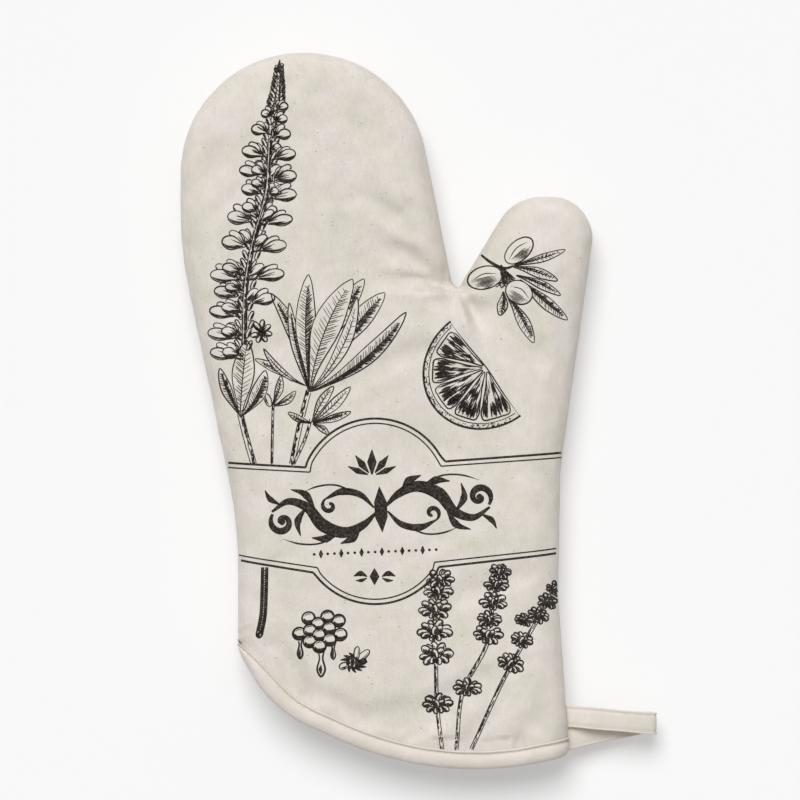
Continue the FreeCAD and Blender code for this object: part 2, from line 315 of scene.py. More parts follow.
def flat_place(p):
    """Where points of the outer form lie when the panel is unrolled flat, the back set apart."""
    n = slope(p)
    tilt = np.arccos(np.clip(np.abs(n[:, 2]), 0, 1))
    wall = np.maximum(MID - ROLL - np.abs(p[:, 2] - MID), 0)
    away = n[:, :2] / np.maximum(np.hypot(n[:, 0], n[:, 1]), 1e-3)[:, None]
    extra = ROLL * (tilt - np.sin(tilt)) + np.where(tilt > 1.4, MID - ROLL - wall, 0)
    flat = p[:, :2] + away * extra[:, None]
    flat[:, 0] += np.where(p[:, 2] < MID, 400.0, 0.0)
    return flat


def read_rows(collection, key):
    rows = np.empty(len(collection) * 3)
    collection.foreach_get(key, rows)
    return rows.reshape(-1, 3)


def points_of(mesh):
    return read_rows(mesh.vertices, "co") / MM


def put_points(mesh, p):
    mesh.vertices.foreach_set("co", (p * MM).ravel())
    mesh.update()


@contextlib.contextmanager
def edited(obj):
    """The object's mesh as a bmesh, written back afterwards."""
    bm = bmesh.new()
    bm.from_mesh(obj.data)
    yield bm
    bm.to_mesh(obj.data)
    bm.free()


def loft(points, faces, rings, hoop=False):
    """Adds a skin through closed rings of points, capped at both ends or else joined in a hoop."""
    base, around = len(points), len(rings[0])
    for ring in rings:
        points.extend(ring)
    for r in range(len(rings) - (not hoop)):
        low = base + r * around
        high = base + (r + 1) % len(rings) * around
        for k in range(around):
            m = (k + 1) % around
            faces.append((low + k, low + m, high + m, high + k))
    if not hoop:
        faces.append(tuple(range(base, base + around))[::-1])
        faces.append(tuple(range(high, high + around)))


def lofted(name, bodies, material, hoop=False):
    """An object with a closed skin through each body's rings."""
    points, faces = [], []
    for rings in bodies:
        loft(points, faces, rings, hoop)
    obj = new_mesh(name, points, faces, material)
    with edited(obj) as bm:
        bmesh.ops.recalc_face_normals(bm, faces=bm.faces[:])
    return obj


def circle(centre, side, out, radius):
    """Eight points round a centre, in the plane of side and out."""
    return [centre + radius * (side * math.cos(a) + out * math.sin(a))
            for a in (math.tau * k / 8 for k in range(8))]


def apply_modifiers(obj):
    """Replaces the object's mesh with what its modifiers make of it."""
    graph = bpy.context.evaluated_depsgraph_get()
    mesh = bpy.data.meshes.new_from_object(obj.evaluated_get(graph))
    obj.modifiers.clear()
    obj.data = mesh


def remove(obj):
    mesh = obj.data
    bpy.data.objects.remove(obj)
    bpy.data.meshes.remove(mesh)


# ------------------------------------------------------------------ the outer skin
def plain_skin():
    """The closed outer form as even quads, on the pillow's surface."""
    ring = len(seam_points)
    low = [(x, y, 0.0) for x, y in seam_points]
    high = [(x, y, THICK) for x, y in seam_points]
    sides = [(i, (i + 1) % ring, (i + 1) % ring + ring, i + ring) for i in range(ring)]
    faces = [list(range(ring))[::-1], list(range(ring, 2 * ring))] + sides
    obj = new_mesh("skin", low + high, faces)
    remesh = obj.modifiers.new("Even", "REMESH")
    remesh.mode = "VOXEL"
    remesh.voxel_size = VOXEL * MM
    apply_modifiers(obj)
    put_points(obj.data, onto(points_of(obj.data), -1.0, 6))
    return obj


SWELL_SHARE = 0.8                 # how much of the simulated relief is kept
PLAIN_LEVEL = 0.3                 # the cloth's level outside the plain form, mm


CLOTH = {
    "quality": 6, "mass": 0.35, "tension_stiffness": 20, "compression_stiffness": 20,
    "shear_stiffness": 8, "bending_stiffness": 6, "shrink_min": -0.02, "use_pressure": True,
    "uniform_pressure_force": 3.0, "vertex_group_mass": "held",
}


def swell(obj, frames=16, cap=1.6):
    """Cloth under a little air pressure, with slack, held at the seam and at the cuff."""
    before = points_of(obj.data)
    held = (np.abs(before[:, 2] - MID) < 2.2) | (rise(before[:, 0], before[:, 1]) < BAND)
    group = obj.vertex_groups.new(name="held")
    group.add(np.nonzero(held)[0].tolist(), 1.0, "REPLACE")
    cloth = obj.modifiers.new("Cloth", "CLOTH")
    for key, value in CLOTH.items():
        setattr(cloth.settings, key, value)
    cloth.settings.effector_weights.gravity = 0
    cloth.collision_settings.use_self_collision = False
    cloth.point_cache.frame_start = 1
    cloth.point_cache.frame_end = frames
    scene = bpy.context.scene
    for number in range(1, frames + 1):
        scene.frame_set(number)
    apply_modifiers(obj)
    scene.frame_set(1)
    after = points_of(obj.data)
    lifted = pillow(after) - pillow(before)
    front = before[:, 2] > MID
    for face in (front, ~front):
        lifted[face] -= np.median(lifted[face])
    lifted = np.clip(lifted, -cap, cap)
    inner = smooth((-outline.at(before[:, 0], before[:, 1]) - 5.0) / 10.0)
    put_points(obj.data, onto(before, PLAIN_LEVEL + SWELL_SHARE * lifted * inner))
    obj.vertex_groups.clear()


CROTCH_FOLDS = [                  # start and end from above the crotch, half-width and height
    ((1, 2), (-50, 7), 4.2, -6.4), ((-6, 6), (-60, 36), 6.5, -4.4), ((-26, 34), (-62, 54), 8.0, -2.2),
    ((-2, -3.5), (-44, -1), 2.8, 1.5), ((-8, -22), (-50, -16), 9.0, 1.4),
    ((1.5, -4), (12, -40), 3.0, 2.6), ((6, -6), (26, -38), 5.0, -3.6), ((4, 1), (34, 2), 3.2, -2.0),
    ((8, -7), (36, -20), 6.0, -1.8),
]
PALM_FOLDS = [
    ((LEFT + 12, 6), (LEFT + 66, -8), 7.0, -1.3), ((LEFT + 18, 18), (LEFT + 72, 5), 8.0, 1.0),
    ((LEFT + 24, -84), (LEFT + 70, -98), 9.0, -1.0), ((RIGHT - 60, -96), (RIGHT - 84, -120), 8.0, -0.8),
]


def relief(p, normal):
    """Folds: the crotch's pull, the cuff's puckers and the cloth's slow waves."""
    x, y = p[:, 0], p[:, 1]
    front = smooth((normal[:, 2] + 0.1) / 0.6)
    back = smooth((-normal[:, 2] + 0.1) / 0.6)
    pinch = folds(x, y, CROTCH_FOLDS, (CROTCH[0], CROTCH[1] + 3))
    h = folds(x, y, PALM_FOLDS)
    near_cuff = np.exp(-((rise(x, y) - BAND - 3) / 6.0) ** 2)
    for place, width, height in CUFF_PUCKERS:
        h += PUCKER_GAIN * height * near_cuff * np.exp(-((x - place) / width) ** 2)
    h += 0.45 * waves(x, y, 5, 74) + 0.16 * waves(x, y, 8, 27)
    plain = 0.5 * waves(x, y, 21, 66) + 0.2 * waves(x, y, 22, 25)
    edge = smooth((-outline.at(x, y) - 2) / 9.0)
    small = 0.10 * waves(x + 3 * p[:, 2], y, 31, 13) * (1 - edge)
    lifted = front * (pinch * (0.7 + 0.3 * edge) + h * (0.35 + 0.65 * edge))
    return lifted + back * plain * edge * 0.5 + small


CUFF_PUCKERS = [                  # x, half-width and height of each pucker over the binding
    (46.0, 3.4, -1.3), (38.5, 3.0, 0.9), (54.0, 3.5, 0.6), (-52.0, 4.0, -1.0), (-42.0, 4.5, 0.8),
    (-28.0, 3.6, -0.6), (-16.0, 4.0, 0.5), (-4.0, 3.6, -0.5), (8.0, 5.0, 0.5), (24.0, 3.6, -0.6),
    (-66.0, 3.4, 0.5), (-60.0, 3.0, -0.5),
]


def shape_skin(obj):
    """Relief, the squeeze under the binding, the side seam's crease and the table's flatness."""
    mesh = obj.data
    p = points_of(mesh)
    n = vertex_normals(mesh)
    p = p + n * relief(p, n)[:, None]
    up = cloth_rise(p)
    facing = smooth((np.abs(slope(p)[:, 2]) - 0.25) / 0.5)
    pulled = 1.0 * np.exp(-np.maximum(up - BAND, 0) / 2.2) * facing
    squeeze = (TAPE + 0.25) * (1 - smooth((up - BAND + 0.6) / 1.6))
    level = pillow(p)
    level_in_band = -np.where(up < BAND + 6, np.maximum(np.maximum(squeeze, pulled) + level, 0), 0)
    p = p + slope(p) * level_in_band[:, None]
    crease = np.exp(-np.abs(p[:, 2] - MID) / 1.1)
    walled = smooth((outline.at(p[:, 0], p[:, 1]) + 4.0) / 3.0) * smooth((up - BAND - 1.0) / 9.0)
    p = p - slope(p) * (SEAM_CREASE * crease * walled)[:, None]
    p[:, 2] = np.maximum(p[:, 2], CLOTH_CLEAR)
    put_points(mesh, p)


def vertex_normals(mesh):
    return read_rows(mesh.vertex_normals, "vector")


def row_cuts(obj):
    """Edge rows along the side seam, so that its crease is clean."""
    with edited(obj) as bm:
        for offset in (0.0, 0.9, -0.9, 2.2, -2.2):
            geometry = bm.verts[:] + bm.edges[:] + bm.faces[:]
            place = Vector((0, 0, (MID + offset) * MM))
            bmesh.ops.bisect_plane(bm, geom=geometry, dist=1e-5, plane_co=place, plane_no=(0, 0, 1))


def make_skin():
    obj = plain_skin()
    swell(obj)
    subdivide = obj.modifiers.new("Fine", "SUBSURF")
    subdivide.levels = 1
    subdivide.render_levels = 1
    apply_modifiers(obj)
    row_cuts(obj)
    shape_skin(obj)
    return obj


# ------------------------------------------------------------------ layers cut from the skin
THUMB_DIR = np.array([math.sqrt(0.5), math.sqrt(0.5)])
HINGE = {name: np.array(j["pos_m"]) / MM for name, j in joints.items() if "pos_m" in j}


def beyond_thumb(x, y):
    """How far a point lies past the line where the thumb's piece begins, or negative."""
    along = (x - CROTCH[0]) * THUMB_DIR[0] + (y - CROTCH[1]) * THUMB_DIR[1]
    return np.where(x < CROTCH[0] + 1e-6, -1.0 - np.abs(along), along)


def cut_thumb_line(obj):
    """Edges along the line between thumb and hand, so that the cloth parts cleanly there."""
    with edited(obj) as bm:
        right = [f for f in bm.faces if f.calc_center_median().x / MM > CROTCH[0] - 6]
        edges = list({e for f in right for e in f.edges})
        verts = list({v for f in right for v in f.verts})
        bmesh.ops.bisect_plane(
            bm, geom=verts + edges + right, dist=1e-6,
            plane_co=Vector((*CROTCH, 0)) * MM, plane_no=(*THUMB_DIR, 0))


def wall_layer(name, skin, keep, near, far, material):
    """A closed slab of cloth: the skin's faces that keep() picks, from near to far inside them.

    near and far are depths in mm and may vary over the skin. Normals come from the whole skin, so
    that two layers that meet along a cut shade as one."""
    mesh = skin.data
    p, n = points_of(mesh), vertex_normals(mesh)
    centres = np.array([f.center for f in mesh.polygons]) / MM
    faces = [tuple(mesh.polygons[i].vertices) for i in np.nonzero(keep(centres))[0]]
    used = sorted({v for f in faces for v in f})
    p, n = p[used], n[used]
    index = {v: i for i, v in enumerate(used)}
    count = len(used)
    front = [tuple(index[v] for v in f) for f in faces]
    back = [tuple(v + count for v in f[::-1]) for f in front]
    sides = dict.fromkeys((a, b) for f in front for a, b in zip(f, f[1:] + f[:1]))
    rim = [(b, a, a + count, b + count) for a, b in sides if (b, a) not in sides]
    points = np.vstack([p - n * near(p)[:, None], p - n * far(p)[:, None]])
    points[:, 2] = np.maximum(points[:, 2], CLOTH_CLEAR)
    obj = new_mesh(name, points, front + back + rim, material)
    lay_out(obj, np.tile(flat_place(p), (2, 1)))
    outward = np.vstack([n, -n])
    obj.data.normals_split_custom_set([
        outward[v] if f.index < 2 * len(front) else f.normal for f in obj.data.polygons for v in f.vertices])
    return obj


def band_squeeze(p):
    """How far the binding presses the cloth in, at these points."""
    return TAPE * (1 - smooth((cloth_rise(p) - BAND + 0.6) / 1.6))


def depth(value, share=0.0):
    """A depth in mm that changes, under the binding, by a share of the binding's squeeze."""
    return lambda p: value + share * band_squeeze(p)


HAND_DIR = np.array([-joints["finger_fold"]["axis"][1], joints["finger_fold"]["axis"][0]])
FINGER_BASE = HINGE["finger_fold"][:2] - HAND_DIR * FINGER_BEND_BELOW
BODIES = {"hand": ("palm", "fingers"), "thumb": ("thumb",)}
BENDS = {                         # in plan, where a piece would start and stop bending with its joint
    "hand": (FINGER_BASE, FINGER_BASE + HAND_DIR * FINGER_BEND),
    "thumb": (CROTCH, CROTCH + THUMB_BEND * THUMB_DIR),
}


def follow(obj, part):
    """Bakes the piece's transform into its mesh. Where it would begin and end bending with its joint is
    worked out, but nothing bends it.
    """
    start, end = (np.array((*place, MID)) * MM for place in BENDS[part])
    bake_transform(obj)


def cloth_layers(skin, material):
    """The shell, batting and lining of both panels, the thumb apart from the hand."""
    raw = TAPE + 0.6
    stack = {
        "shell": (depth(0.0), depth(SHELL), "canvas"),
        "batting": (depth(SHELL + 0.05), depth(SHELL + BATTING - 0.05, BATTING_GIVE), "batting"),
        "lining": (depth(SHELL + BATTING, BATTING_GIVE), depth(WALL, BATTING_GIVE), "lining"),
    }
    for half, side in (("front", 1), ("back", -1)):
        for part, bodies in BODIES.items():

            def keep(c, side=side, over=part == "thumb"):
                z = side * (c[:, 2] - MID) > 0
                line = (beyond_thumb(c[:, 0], c[:, 1]) > 0) == over
                return z & line & (rise(c[:, 0], c[:, 1]) > raw)

            for layer, (near, far, look) in stack.items():
                obj = wall_layer("%s_%s_of_%s" % (half, layer, part), skin, keep, near, far, material[look])
                follow(obj, part)
                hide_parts(*["%s_%s_%s" % (half, layer, body) for body in bodies])


# ------------------------------------------------------------------ binding round the cuff
def cuff_ring(count):
    """Points round the cuff on the outer form, on the hem line, and the way up from each."""
    t = np.linspace(0, math.tau, count, endpoint=False)
    half = (CUFF_RIGHT - CUFF_LEFT) / 2
    middle = (CUFF_RIGHT + CUFF_LEFT) / 2
    x = middle - half * np.sign(np.cos(t)) * np.abs(np.cos(t)) ** 0.9
    z = MID + MID * np.clip(np.sin(t) * 6, -1, 1)
    p = np.column_stack([x, np.full(count, -150.0), z])
    for _ in range(12):
        p = onto(p, 0.0, 2) - np.outer(rise(p[:, 0], p[:, 1]), (0.0, 1.0, 0.0))
    closed = np.vstack([p, p[:1]])
    run = run_of(closed)
    p = at_run(closed, run, np.linspace(0, run[-1], count, endpoint=False))
    for _ in range(6):
        p = onto(p, 0.0, 2)
        p[:, 1] -= rise(p[:, 0], p[:, 1])
    along = unit(np.roll(p, -1, axis=0) - np.roll(p, 1, axis=0))
    up = np.cross(slope(p), along)
    return p, up * np.sign(up[:, 1])[:, None]


def at_band(ring, up, height, level):
    """Points at a height above the hem and a level outside the outer form, round the cuff."""
    steepness = np.sum(up * rise_direction(ring[:, 0], ring[:, 1]), axis=1) ** 2
    height = np.broadcast_to(height, len(ring)) * steepness
    level = np.broadcast_to(level, len(ring))
    p = ring + up * height[:, None] + slope(ring) * level[:, None]
    for _ in range(5):
        p = p + up * (height - rise(p[:, 0], p[:, 1]))[:, None]
        p = onto(p, level, 2)
    return p


BINDING_PROFILE = [               # height above the hem and level outside the outer form, mm
    (8.05, -0.95), (8.45, -0.45), (8.6, 0.1), (8.42, 0.5), (8.0, 0.62), (7.6, 0.38), (7.3, -0.25),
    (6.95, -0.6), (6.55, -0.38), (6.0, 0.10), (4.9, 0.46), (3.6, 0.42), (2.5, 0.16), (1.5, -0.3),
    (0.75, -0.85), (0.25, -1.5),
    (0.0, -2.4), (0.0, -3.4), (0.1, -4.6), (0.5, -5.4), (1.4, -5.7), (3.2, -5.75), (5.2, -5.65),
    (6.6, -5.5), (7.2, -5.2), (7.0, -4.8), (5.5, -4.65), (2.4, -4.6), (1.4, -4.3), (1.2, -3.2),
    (1.2, -2.0), (1.5, -1.2), (3.0, -0.9), (6.0, -0.8),
]
STITCH_LINE = 6.95                # the binding's stitches above the hem
STITCH_PITCH = 3.6


def binding(material):
    """The folded tape round the hem. Gives back the hem's ring and the way up from it."""
    ring, up = cuff_ring(420)
    run = run_of(ring)
    tug = 0.5 + 0.5 * np.cos(run / STITCH_PITCH * math.tau)
    slow = waves(run, run * 0, 3, 46) * 0.20 + waves(run, run * 0, 4, 15) * 0.10
    rows = []
    for height, level in BINDING_PROFILE:
        wave, near_stitch = slow * 0.4, 0
        if level > -0.6:          # on the outside
            wave = slow + 0.09 * waves(run + 9 * height, run * 0, 6, 8)
            near_stitch = math.exp(-((height - STITCH_LINE) / 0.8) ** 2)
        row = at_band(ring, up, height + wave * 0.5, level + wave - 0.16 * tug * near_stitch)
        row[:, 2] = np.maximum(row[:, 2], BINDING_CLEAR)
        rows.append(row)
    obj = lofted("cuff_binding_tape", [rows], material, hoop=True)
    climb = run_of(np.array(BINDING_PROFILE))
    lay_out(obj, np.array([(s, far) for far in climb for s in run]))
    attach(obj, "palm")
    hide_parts("cuff_binding")
    return ring, up


def thread_dashes(name, places, material, radius=0.24):
    """Stitches: each place is (start, end, outward), and each stitch a plump little bar."""
    bars = []
    for start, end, outward in places:
        along = unit(end - start)
        side = unit(np.cross(along, outward))
        out = np.cross(side, along)
        rings = []
        for share in (0.0, 0.12, 0.3, 0.5, 0.7, 0.88, 1.0):
            plump = math.sin(math.pi * (0.08 + 0.84 * share)) ** 0.5
            centre = start + (end - start) * share - out * radius * 0.9 * (1 - plump)
            rings.append(circle(centre, side, out, radius * plump))
        bars.append(rings)
    return lofted(name, bars, material)


def binding_stitches(ring, up, material):
    """Lockstitches in the ditch by the binding's upper edge, outside, all round the cuff."""
    line = at_band(ring, up, STITCH_LINE, -0.5)
    closed = np.vstack([line, line[:1]])
    run = run_of(closed)
    number = int(run[-1] / STITCH_PITCH)
    pitch = run[-1] / number
    places = []
    for i in range(number):
        start, end = at_run(closed, run, [(i + 0.14) * pitch, (i + 0.86) * pitch])
        middle = (start + end)[None, :] / 2
        if middle[0, 2] >= 1.5:   # clear of the table
            places.append((start, end, slope(middle)[0]))
    obj = thread_dashes("binding_lockstitches", places, material)
    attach(obj, "palm")
    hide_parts("binding_stitching")


# ------------------------------------------------------------------ side seam thread
SEAM_DEPTH = 1.75
THREAD = 0.8


THREAD_STEP = 1.6                 # short enough to bend with the cloth


def seam_threads(material):
    """The thread that joins the panels, sunk in the side seam: one for the hand, one for the thumb."""
    corners = np.vstack([seam_points, seam_points[:1]])
    run = run_of(corners)
    line = at_run(corners, run, np.arange(0, run[-1], THREAD_STEP))
    line = onto(np.column_stack([line, np.full(len(line), MID)]), -SEAM_DEPTH, 6)
    sewn = rise(line[:, 0], line[:, 1]) > BAND - 2
    over = beyond_thumb(line[:, 0], line[:, 1]) > 0
    first = int(np.argmax(sewn & ~np.roll(sewn, 1)))
    line, sewn, over = (np.roll(each, -first, axis=0) for each in (line, sewn, over))
    up = np.array([0.0, 0.0, 1.0])
    for part, wanted in (("hand", sewn & ~over), ("thumb", sewn & over)):
        tubes = []
        for start, end in stretches(wanted, 3):
            piece = line[start:end]
            sides = unit(np.cross(unit(np.gradient(piece, axis=0)), up))
            tubes.append([circle(centre, side, up, THREAD / 2) for centre, side in zip(piece, sides)])
        obj = lofted("side_seam_thread_of_" + part, tubes, material)
        follow(obj, part)
        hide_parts(*["side_seam_thread_" + body for body in BODIES[part]])


# ------------------------------------------------------------------ hanging loop
LOOP_WIDTH = 10.0
LOOP_TAPE = 1.5
LOOP_STITCH = 1.9                 # length of a stitch on the loop
LOOP_PITCH = 2.6                  # from one stitch to the next
LOOP_PATH = [                     # centre of the tape: x, y, z
    (64.5, -141.4, 15.8), (68.5, -141.5, 15.9), (73.0, -141.7, 16.8), (80.0, -142.2, 18.2),
    (90.0, -143.1, 18.8), (100.0, -144.0, 18.7), (105.5, -144.5, 18.3), (108.3, -144.7, 17.3),
    (109.2, -144.8, 15.0), (108.3, -144.7, 12.6), (105.5, -144.6, 11.6), (100.0, -145.6, 11.2),
    (90.0, -147.7, 11.2), (80.0, -149.8, 11.9), (74.0, -151.0, 13.3), (69.5, -151.9, 14.0),
    (65.5, -152.6, 14.1),
]
TAPE_PROFILE = [                  # across the tape, then through it, as shares of half sizes
    (-1.0, -0.2), (-0.99, 0.75), (-0.94, 1.25), (-0.87, 1.2), (-0.79, 0.45), (-0.7, 0.85),
    (-0.35, 1.05), (0.0, 1.0), (0.35, 1.05), (0.7, 0.85), (0.79, 0.45), (0.87, 1.2),
    (0.94, 1.25), (0.99, 0.75), (1.0, -0.2), (0.96, -0.8), (0.84, -1.0), (0.77, -0.75),
    (0.7, -0.95), (0.0, -1.0), (-0.7, -0.95), (-0.77, -0.75), (-0.84, -1.0), (-0.96, -0.8),
]


def curve_points(path, count):
    """Evenly spaced points on a smooth curve through the path, as an array."""
    p = np.array(path, float)
    knots = run_of(p)
    slopes = np.gradient(p, knots, axis=0)
    s = np.linspace(0, knots[-1], count)
    i = np.clip(np.searchsorted(knots, s, side="right") - 1, 0, len(knots) - 2)
    h = knots[i + 1] - knots[i]
    t = ((s - knots[i]) / h)[:, None]
    h = h[:, None]
    return (p[i] * (1 + 2 * t) * (1 - t) ** 2 + slopes[i] * h * t * (1 - t) ** 2
            + p[i + 1] * t * t * (3 - 2 * t) + slopes[i + 1] * h * t * t * (t - 1))


def tape_frame(path):
    """Across and out of the tape at each point of its path."""
    along = unit(np.gradient(path, axis=0))
    across = np.tile([0.0, 1.0, 0.0], (len(path), 1))
    across = unit(across - along * np.sum(across * along, axis=1, keepdims=True))
    return across, np.cross(along, across)


def hanging_loop(material, thread):
    """The folded tape and the two rows of stitches on each of its faces."""
    path = curve_points(LOOP_PATH, 150)
    across, out = tape_frame(path)
    run = run_of(path)
    soft = waves(run, run * 0, 12, 21)
    rings = []
    for i, centre in enumerate(path):
        width = LOOP_WIDTH / 2 * (1 + 0.018 * soft[i])
        tug = 0.05 * math.cos(run[i] / LOOP_PITCH * math.tau)
        rings.append([centre + across[i] * a * width + out[i] * (b * LOOP_TAPE / 2 + tug * (abs(a) > 0.75))
                      for a, b in TAPE_PROFILE])
    obj = lofted("hanging_loop_tape", [rings], material)
    flat = [a * LOOP_WIDTH / 2 + (20 if b < 0 else 0) for a, b in TAPE_PROFILE]
    lay_out(obj, np.array([(s, place) for s in run for place in flat]))
    frames = np.hstack([path, across, out])
    places = []
    for a in (-0.77, 0.77):
        for side in (1, -1):
            s = 6.0
            while s + LOOP_STITCH < run[-1] - 5:
                two = at_run(frames, run, [s, s + LOOP_STITCH])
                ends = two[:, :3] + two[:, 3:6] * a * LOOP_WIDTH / 2 + two[:, 6:] * side * LOOP_TAPE * 0.42
                places.append((*ends, two[1, 6:] * side))
                s += LOOP_PITCH
    rows = thread_dashes("loop_edge_stitches", places, thread, radius=0.17)
    for piece in (obj, rows):
        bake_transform(piece)
    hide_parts("hanging_loop", "loop_tape_end")
    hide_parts("loop_edge_stitching")


# ------------------------------------------------------------------ the print, as inked strokes
LINE = 0.52                       # usual width of an inked line, mm


def left_of(v):
    """The unit vectors that point to the left of plane vectors."""
    v = unit(v)
    return np.stack([-v[..., 1], v[..., 0]], axis=-1)


def below(v):
    """The unit vector square to a plane vector, on its lower side."""
    side = left_of(v)
    return -side if side[1] > 0 else side


def sampled(path, step, least):
    """A smooth line through the path, with a point at about every step."""
    path = np.array(path, float)
    count = max(least, int(run_of(path)[-1] / step) + 1)
    return curve_points(path, count) if len(path) > 2 else np.linspace(path[0], path[1], count)


def ring_curve(points):
    """A smooth closed curve through the points, its first point repeated at the end."""
    points = np.array(points, float)
    looped = np.vstack([points[-2:], points, points[:3]])
    dense = curve_points(looped, max(24, int(run_of(looped)[-1] / 0.8)))
    half = len(dense) // 2
    away = np.linalg.norm(dense - points[0], axis=1)
    ring = dense[np.argmin(away[:half]):half + np.argmin(away[half:])]
    return np.vstack([ring, ring[:1]])


def oval(centre, long_half, short_half, turn, points=12):
    """Points round an ellipse whose long axis is turned by the given degrees."""
    ahead = heading(math.radians(turn))
    return [centre + ahead * long_half * math.cos(a) + left_of(ahead) * short_half * math.sin(a)
            for a in np.linspace(0, math.tau, points, endpoint=False)]


class Ink:
    """A motif of the print: strokes in the plane of the front, each a centre line with widths."""

    def __init__(self, seed):
        self.rng = np.random.default_rng(seed)
        self.strokes = []

    def keep(self, line, widths):
        if len(line) > 1:
            self.strokes.append((np.asarray(line, float), np.asarray(widths, float)))

    def stroke(self, path, width=LINE, ends=(0.3, 0.3), step=1.0):
        """A smooth stroke through the path, thinned towards its ends to the given shares."""
        line = sampled(path, step, 4)
        t = np.linspace(0, 1, len(line))
        self.keep(line, width * np.clip(t / 0.25, ends[0], 1) * np.clip((1 - t) / 0.25, ends[1], 1))

    def blob(self, path, widths):
        """A filled shape: a centre line with widths given along it."""
        line = sampled(path, 0.7, 7)
        t = np.linspace(0, 1, len(line))
        self.keep(line, np.interp(t, np.linspace(0, 1, len(widths)), widths))

    def dot(self, place, size):
        x, y = place
        share = np.sin(np.linspace(0.3, math.pi - 0.3, 7))
        self.keep([(x + size * 0.5 * s, y) for s in np.linspace(-1, 1, 7)], size * share)

    def shape(self, points, width=LINE):
        """An outlined shape that hides what was drawn behind it."""
        ring = ring_curve(points)
        self.clear(ring[:-1])
        uneven = np.sin(np.linspace(0, math.tau, len(ring)) + self.rng.uniform(0, math.tau))
        self.keep(ring, width * (1 + 0.22 * uneven))

    def clear(self, polygon):
        """Removes the parts of earlier strokes that lie inside the polygon."""
        low, high = polygon.min(axis=0), polygon.max(axis=0)
        kept = []
        for line, widths in self.strokes:
            if (line.max(axis=0) < low).any() or (line.min(axis=0) > high).any():
                kept.append((line, widths))
                continue
            seen = ~inside(polygon, line[:, 0], line[:, 1])
            kept += [(line[a:b], widths[a:b]) for a, b in stretches(seen)]
        self.strokes = kept

    def lobe(self, rib, side, half, steps, line):
        """An outline from the rib's root round its tip, half(t) away from it on each side."""
        self.shape([rib(0)] + [rib(t) + side * half(t) for t in steps] + [rib(1)]
                   + [rib(t) - side * half(t) for t in steps[::-1]], line)

    def leaf(self, base, tip, width, bend=0.0, shade=0.5, side_shaded=1, neck=0.3):
        """A rounded leaf: outline, midrib and hatching laid from the rib, darker on one side."""
        base = np.array(base, float)
        axis = np.array(tip, float) - base
        long = float(np.linalg.norm(axis))
        side = left_of(axis)

        def rib(t):
            return base + axis * t + side * (4 * bend * t * (1 - t))

        def half(t):
            body = max(0.0, 1 - (2 * t - 1) ** 2) ** (0.5 if t < 0.5 else 0.72)
            return width / 2 * body * (neck + (1 - neck) * float(smooth(t / 0.62)))

        self.lobe(rib, side, half, np.linspace(0.03, 0.97, 9), LINE)
        self.stroke([rib(t) for t in np.linspace(0.02, 0.9, 8)], LINE * 0.95, (1.0, 0.25))
        number = int(long / (0.95 - 0.35 * shade))
        for sign, share in ((side_shaded, shade), (-side_shaded, shade * 0.30)):
            rows = int(number * (0.25 + 0.75 * share))
            for i in range(rows):
                t = 0.07 + 0.83 * (i + self.rng.uniform(0, 0.6)) / rows
                reach = half(min(t + 0.06, 0.98)) * self.rng.uniform(0.45, 0.97)
                if reach < 0.6:
                    continue
                start = rib(t) + side * sign * 0.1
                end = rib(t) + side * sign * reach + axis / long * reach * 0.75
                self.stroke([start, end], LINE * (0.45 + 0.5 * share), (1.0, 0.3), 0.8)
        if shade > 0.55:
            self.blob([rib(t) + side * side_shaded * half(t) * 0.45 for t in (0.04, 0.2, 0.38, 0.55)],
                      [0.4, half(0.2) * 0.8 * shade, half(0.38) * 0.55 * shade, 0.2])

    def stem(self, path, width, line=0.42, dark=0.6):
        """A stalk that hides what is behind it: two edges, one side hatched dark."""
        path = np.array(path, float)
        count = max(6, int(run_of(path)[-1] / 1.6))
        middle = curve_points(path, count)
        along = unit(np.gradient(middle, axis=0))
        side = left_of(along) * width / 2
        self.clear(np.vstack([middle + side, (middle - side)[::-1]]))
        for sign in (-1, 1):
            self.stroke(middle + side * sign, line, (0.9, 0.9))
        for i in range(int(count * 2.4 * dark)):
            k = self.rng.uniform(0, count - 1.01)
            j = int(k)
            here = middle[j] + (middle[j + 1] - middle[j]) * (k - j) + side[j] * self.rng.uniform(-0.2, 0.8)
            self.stroke([here - along[j] * 0.9, here + along[j] * 0.9], line, (0.5, 0.5))

    def petal(self, root, tip, width, dark=0.6, line=LINE):
        """A bag-shaped petal, narrow at its root and round at its tip, darker along its lower side."""
        root = np.array(root, float)
        axis = np.array(tip, float) - root
        side = below(axis)

        def half(t):
            round_end = math.sqrt(max(0.0, 1 - (max(t - 0.58, 0) / 0.42) ** 2))
            return width / 2 * (0.18 + 0.82 * float(smooth(t / 0.62))) * round_end

        def place(t, share=0.0):
            return root + axis * t + side * half(t) * share

        self.lobe(place, side, half, (0.06, 0.26, 0.46, 0.62, 0.76, 0.88, 0.96), line)
        self.blob([place(t, 0.68) for t in (0.2, 0.5, 0.76, 0.93)],
                  [0.3, width * 0.20 * dark, width * 0.26 * dark, 0.25])
        for k in range(int(3 + 3 * dark)):
            off = self.rng.uniform(-0.75, 0.75)
            self.stroke([place(0.1, off), place(self.rng.uniform(0.35, 0.72), off)], 0.42, (1.0, 0.3))

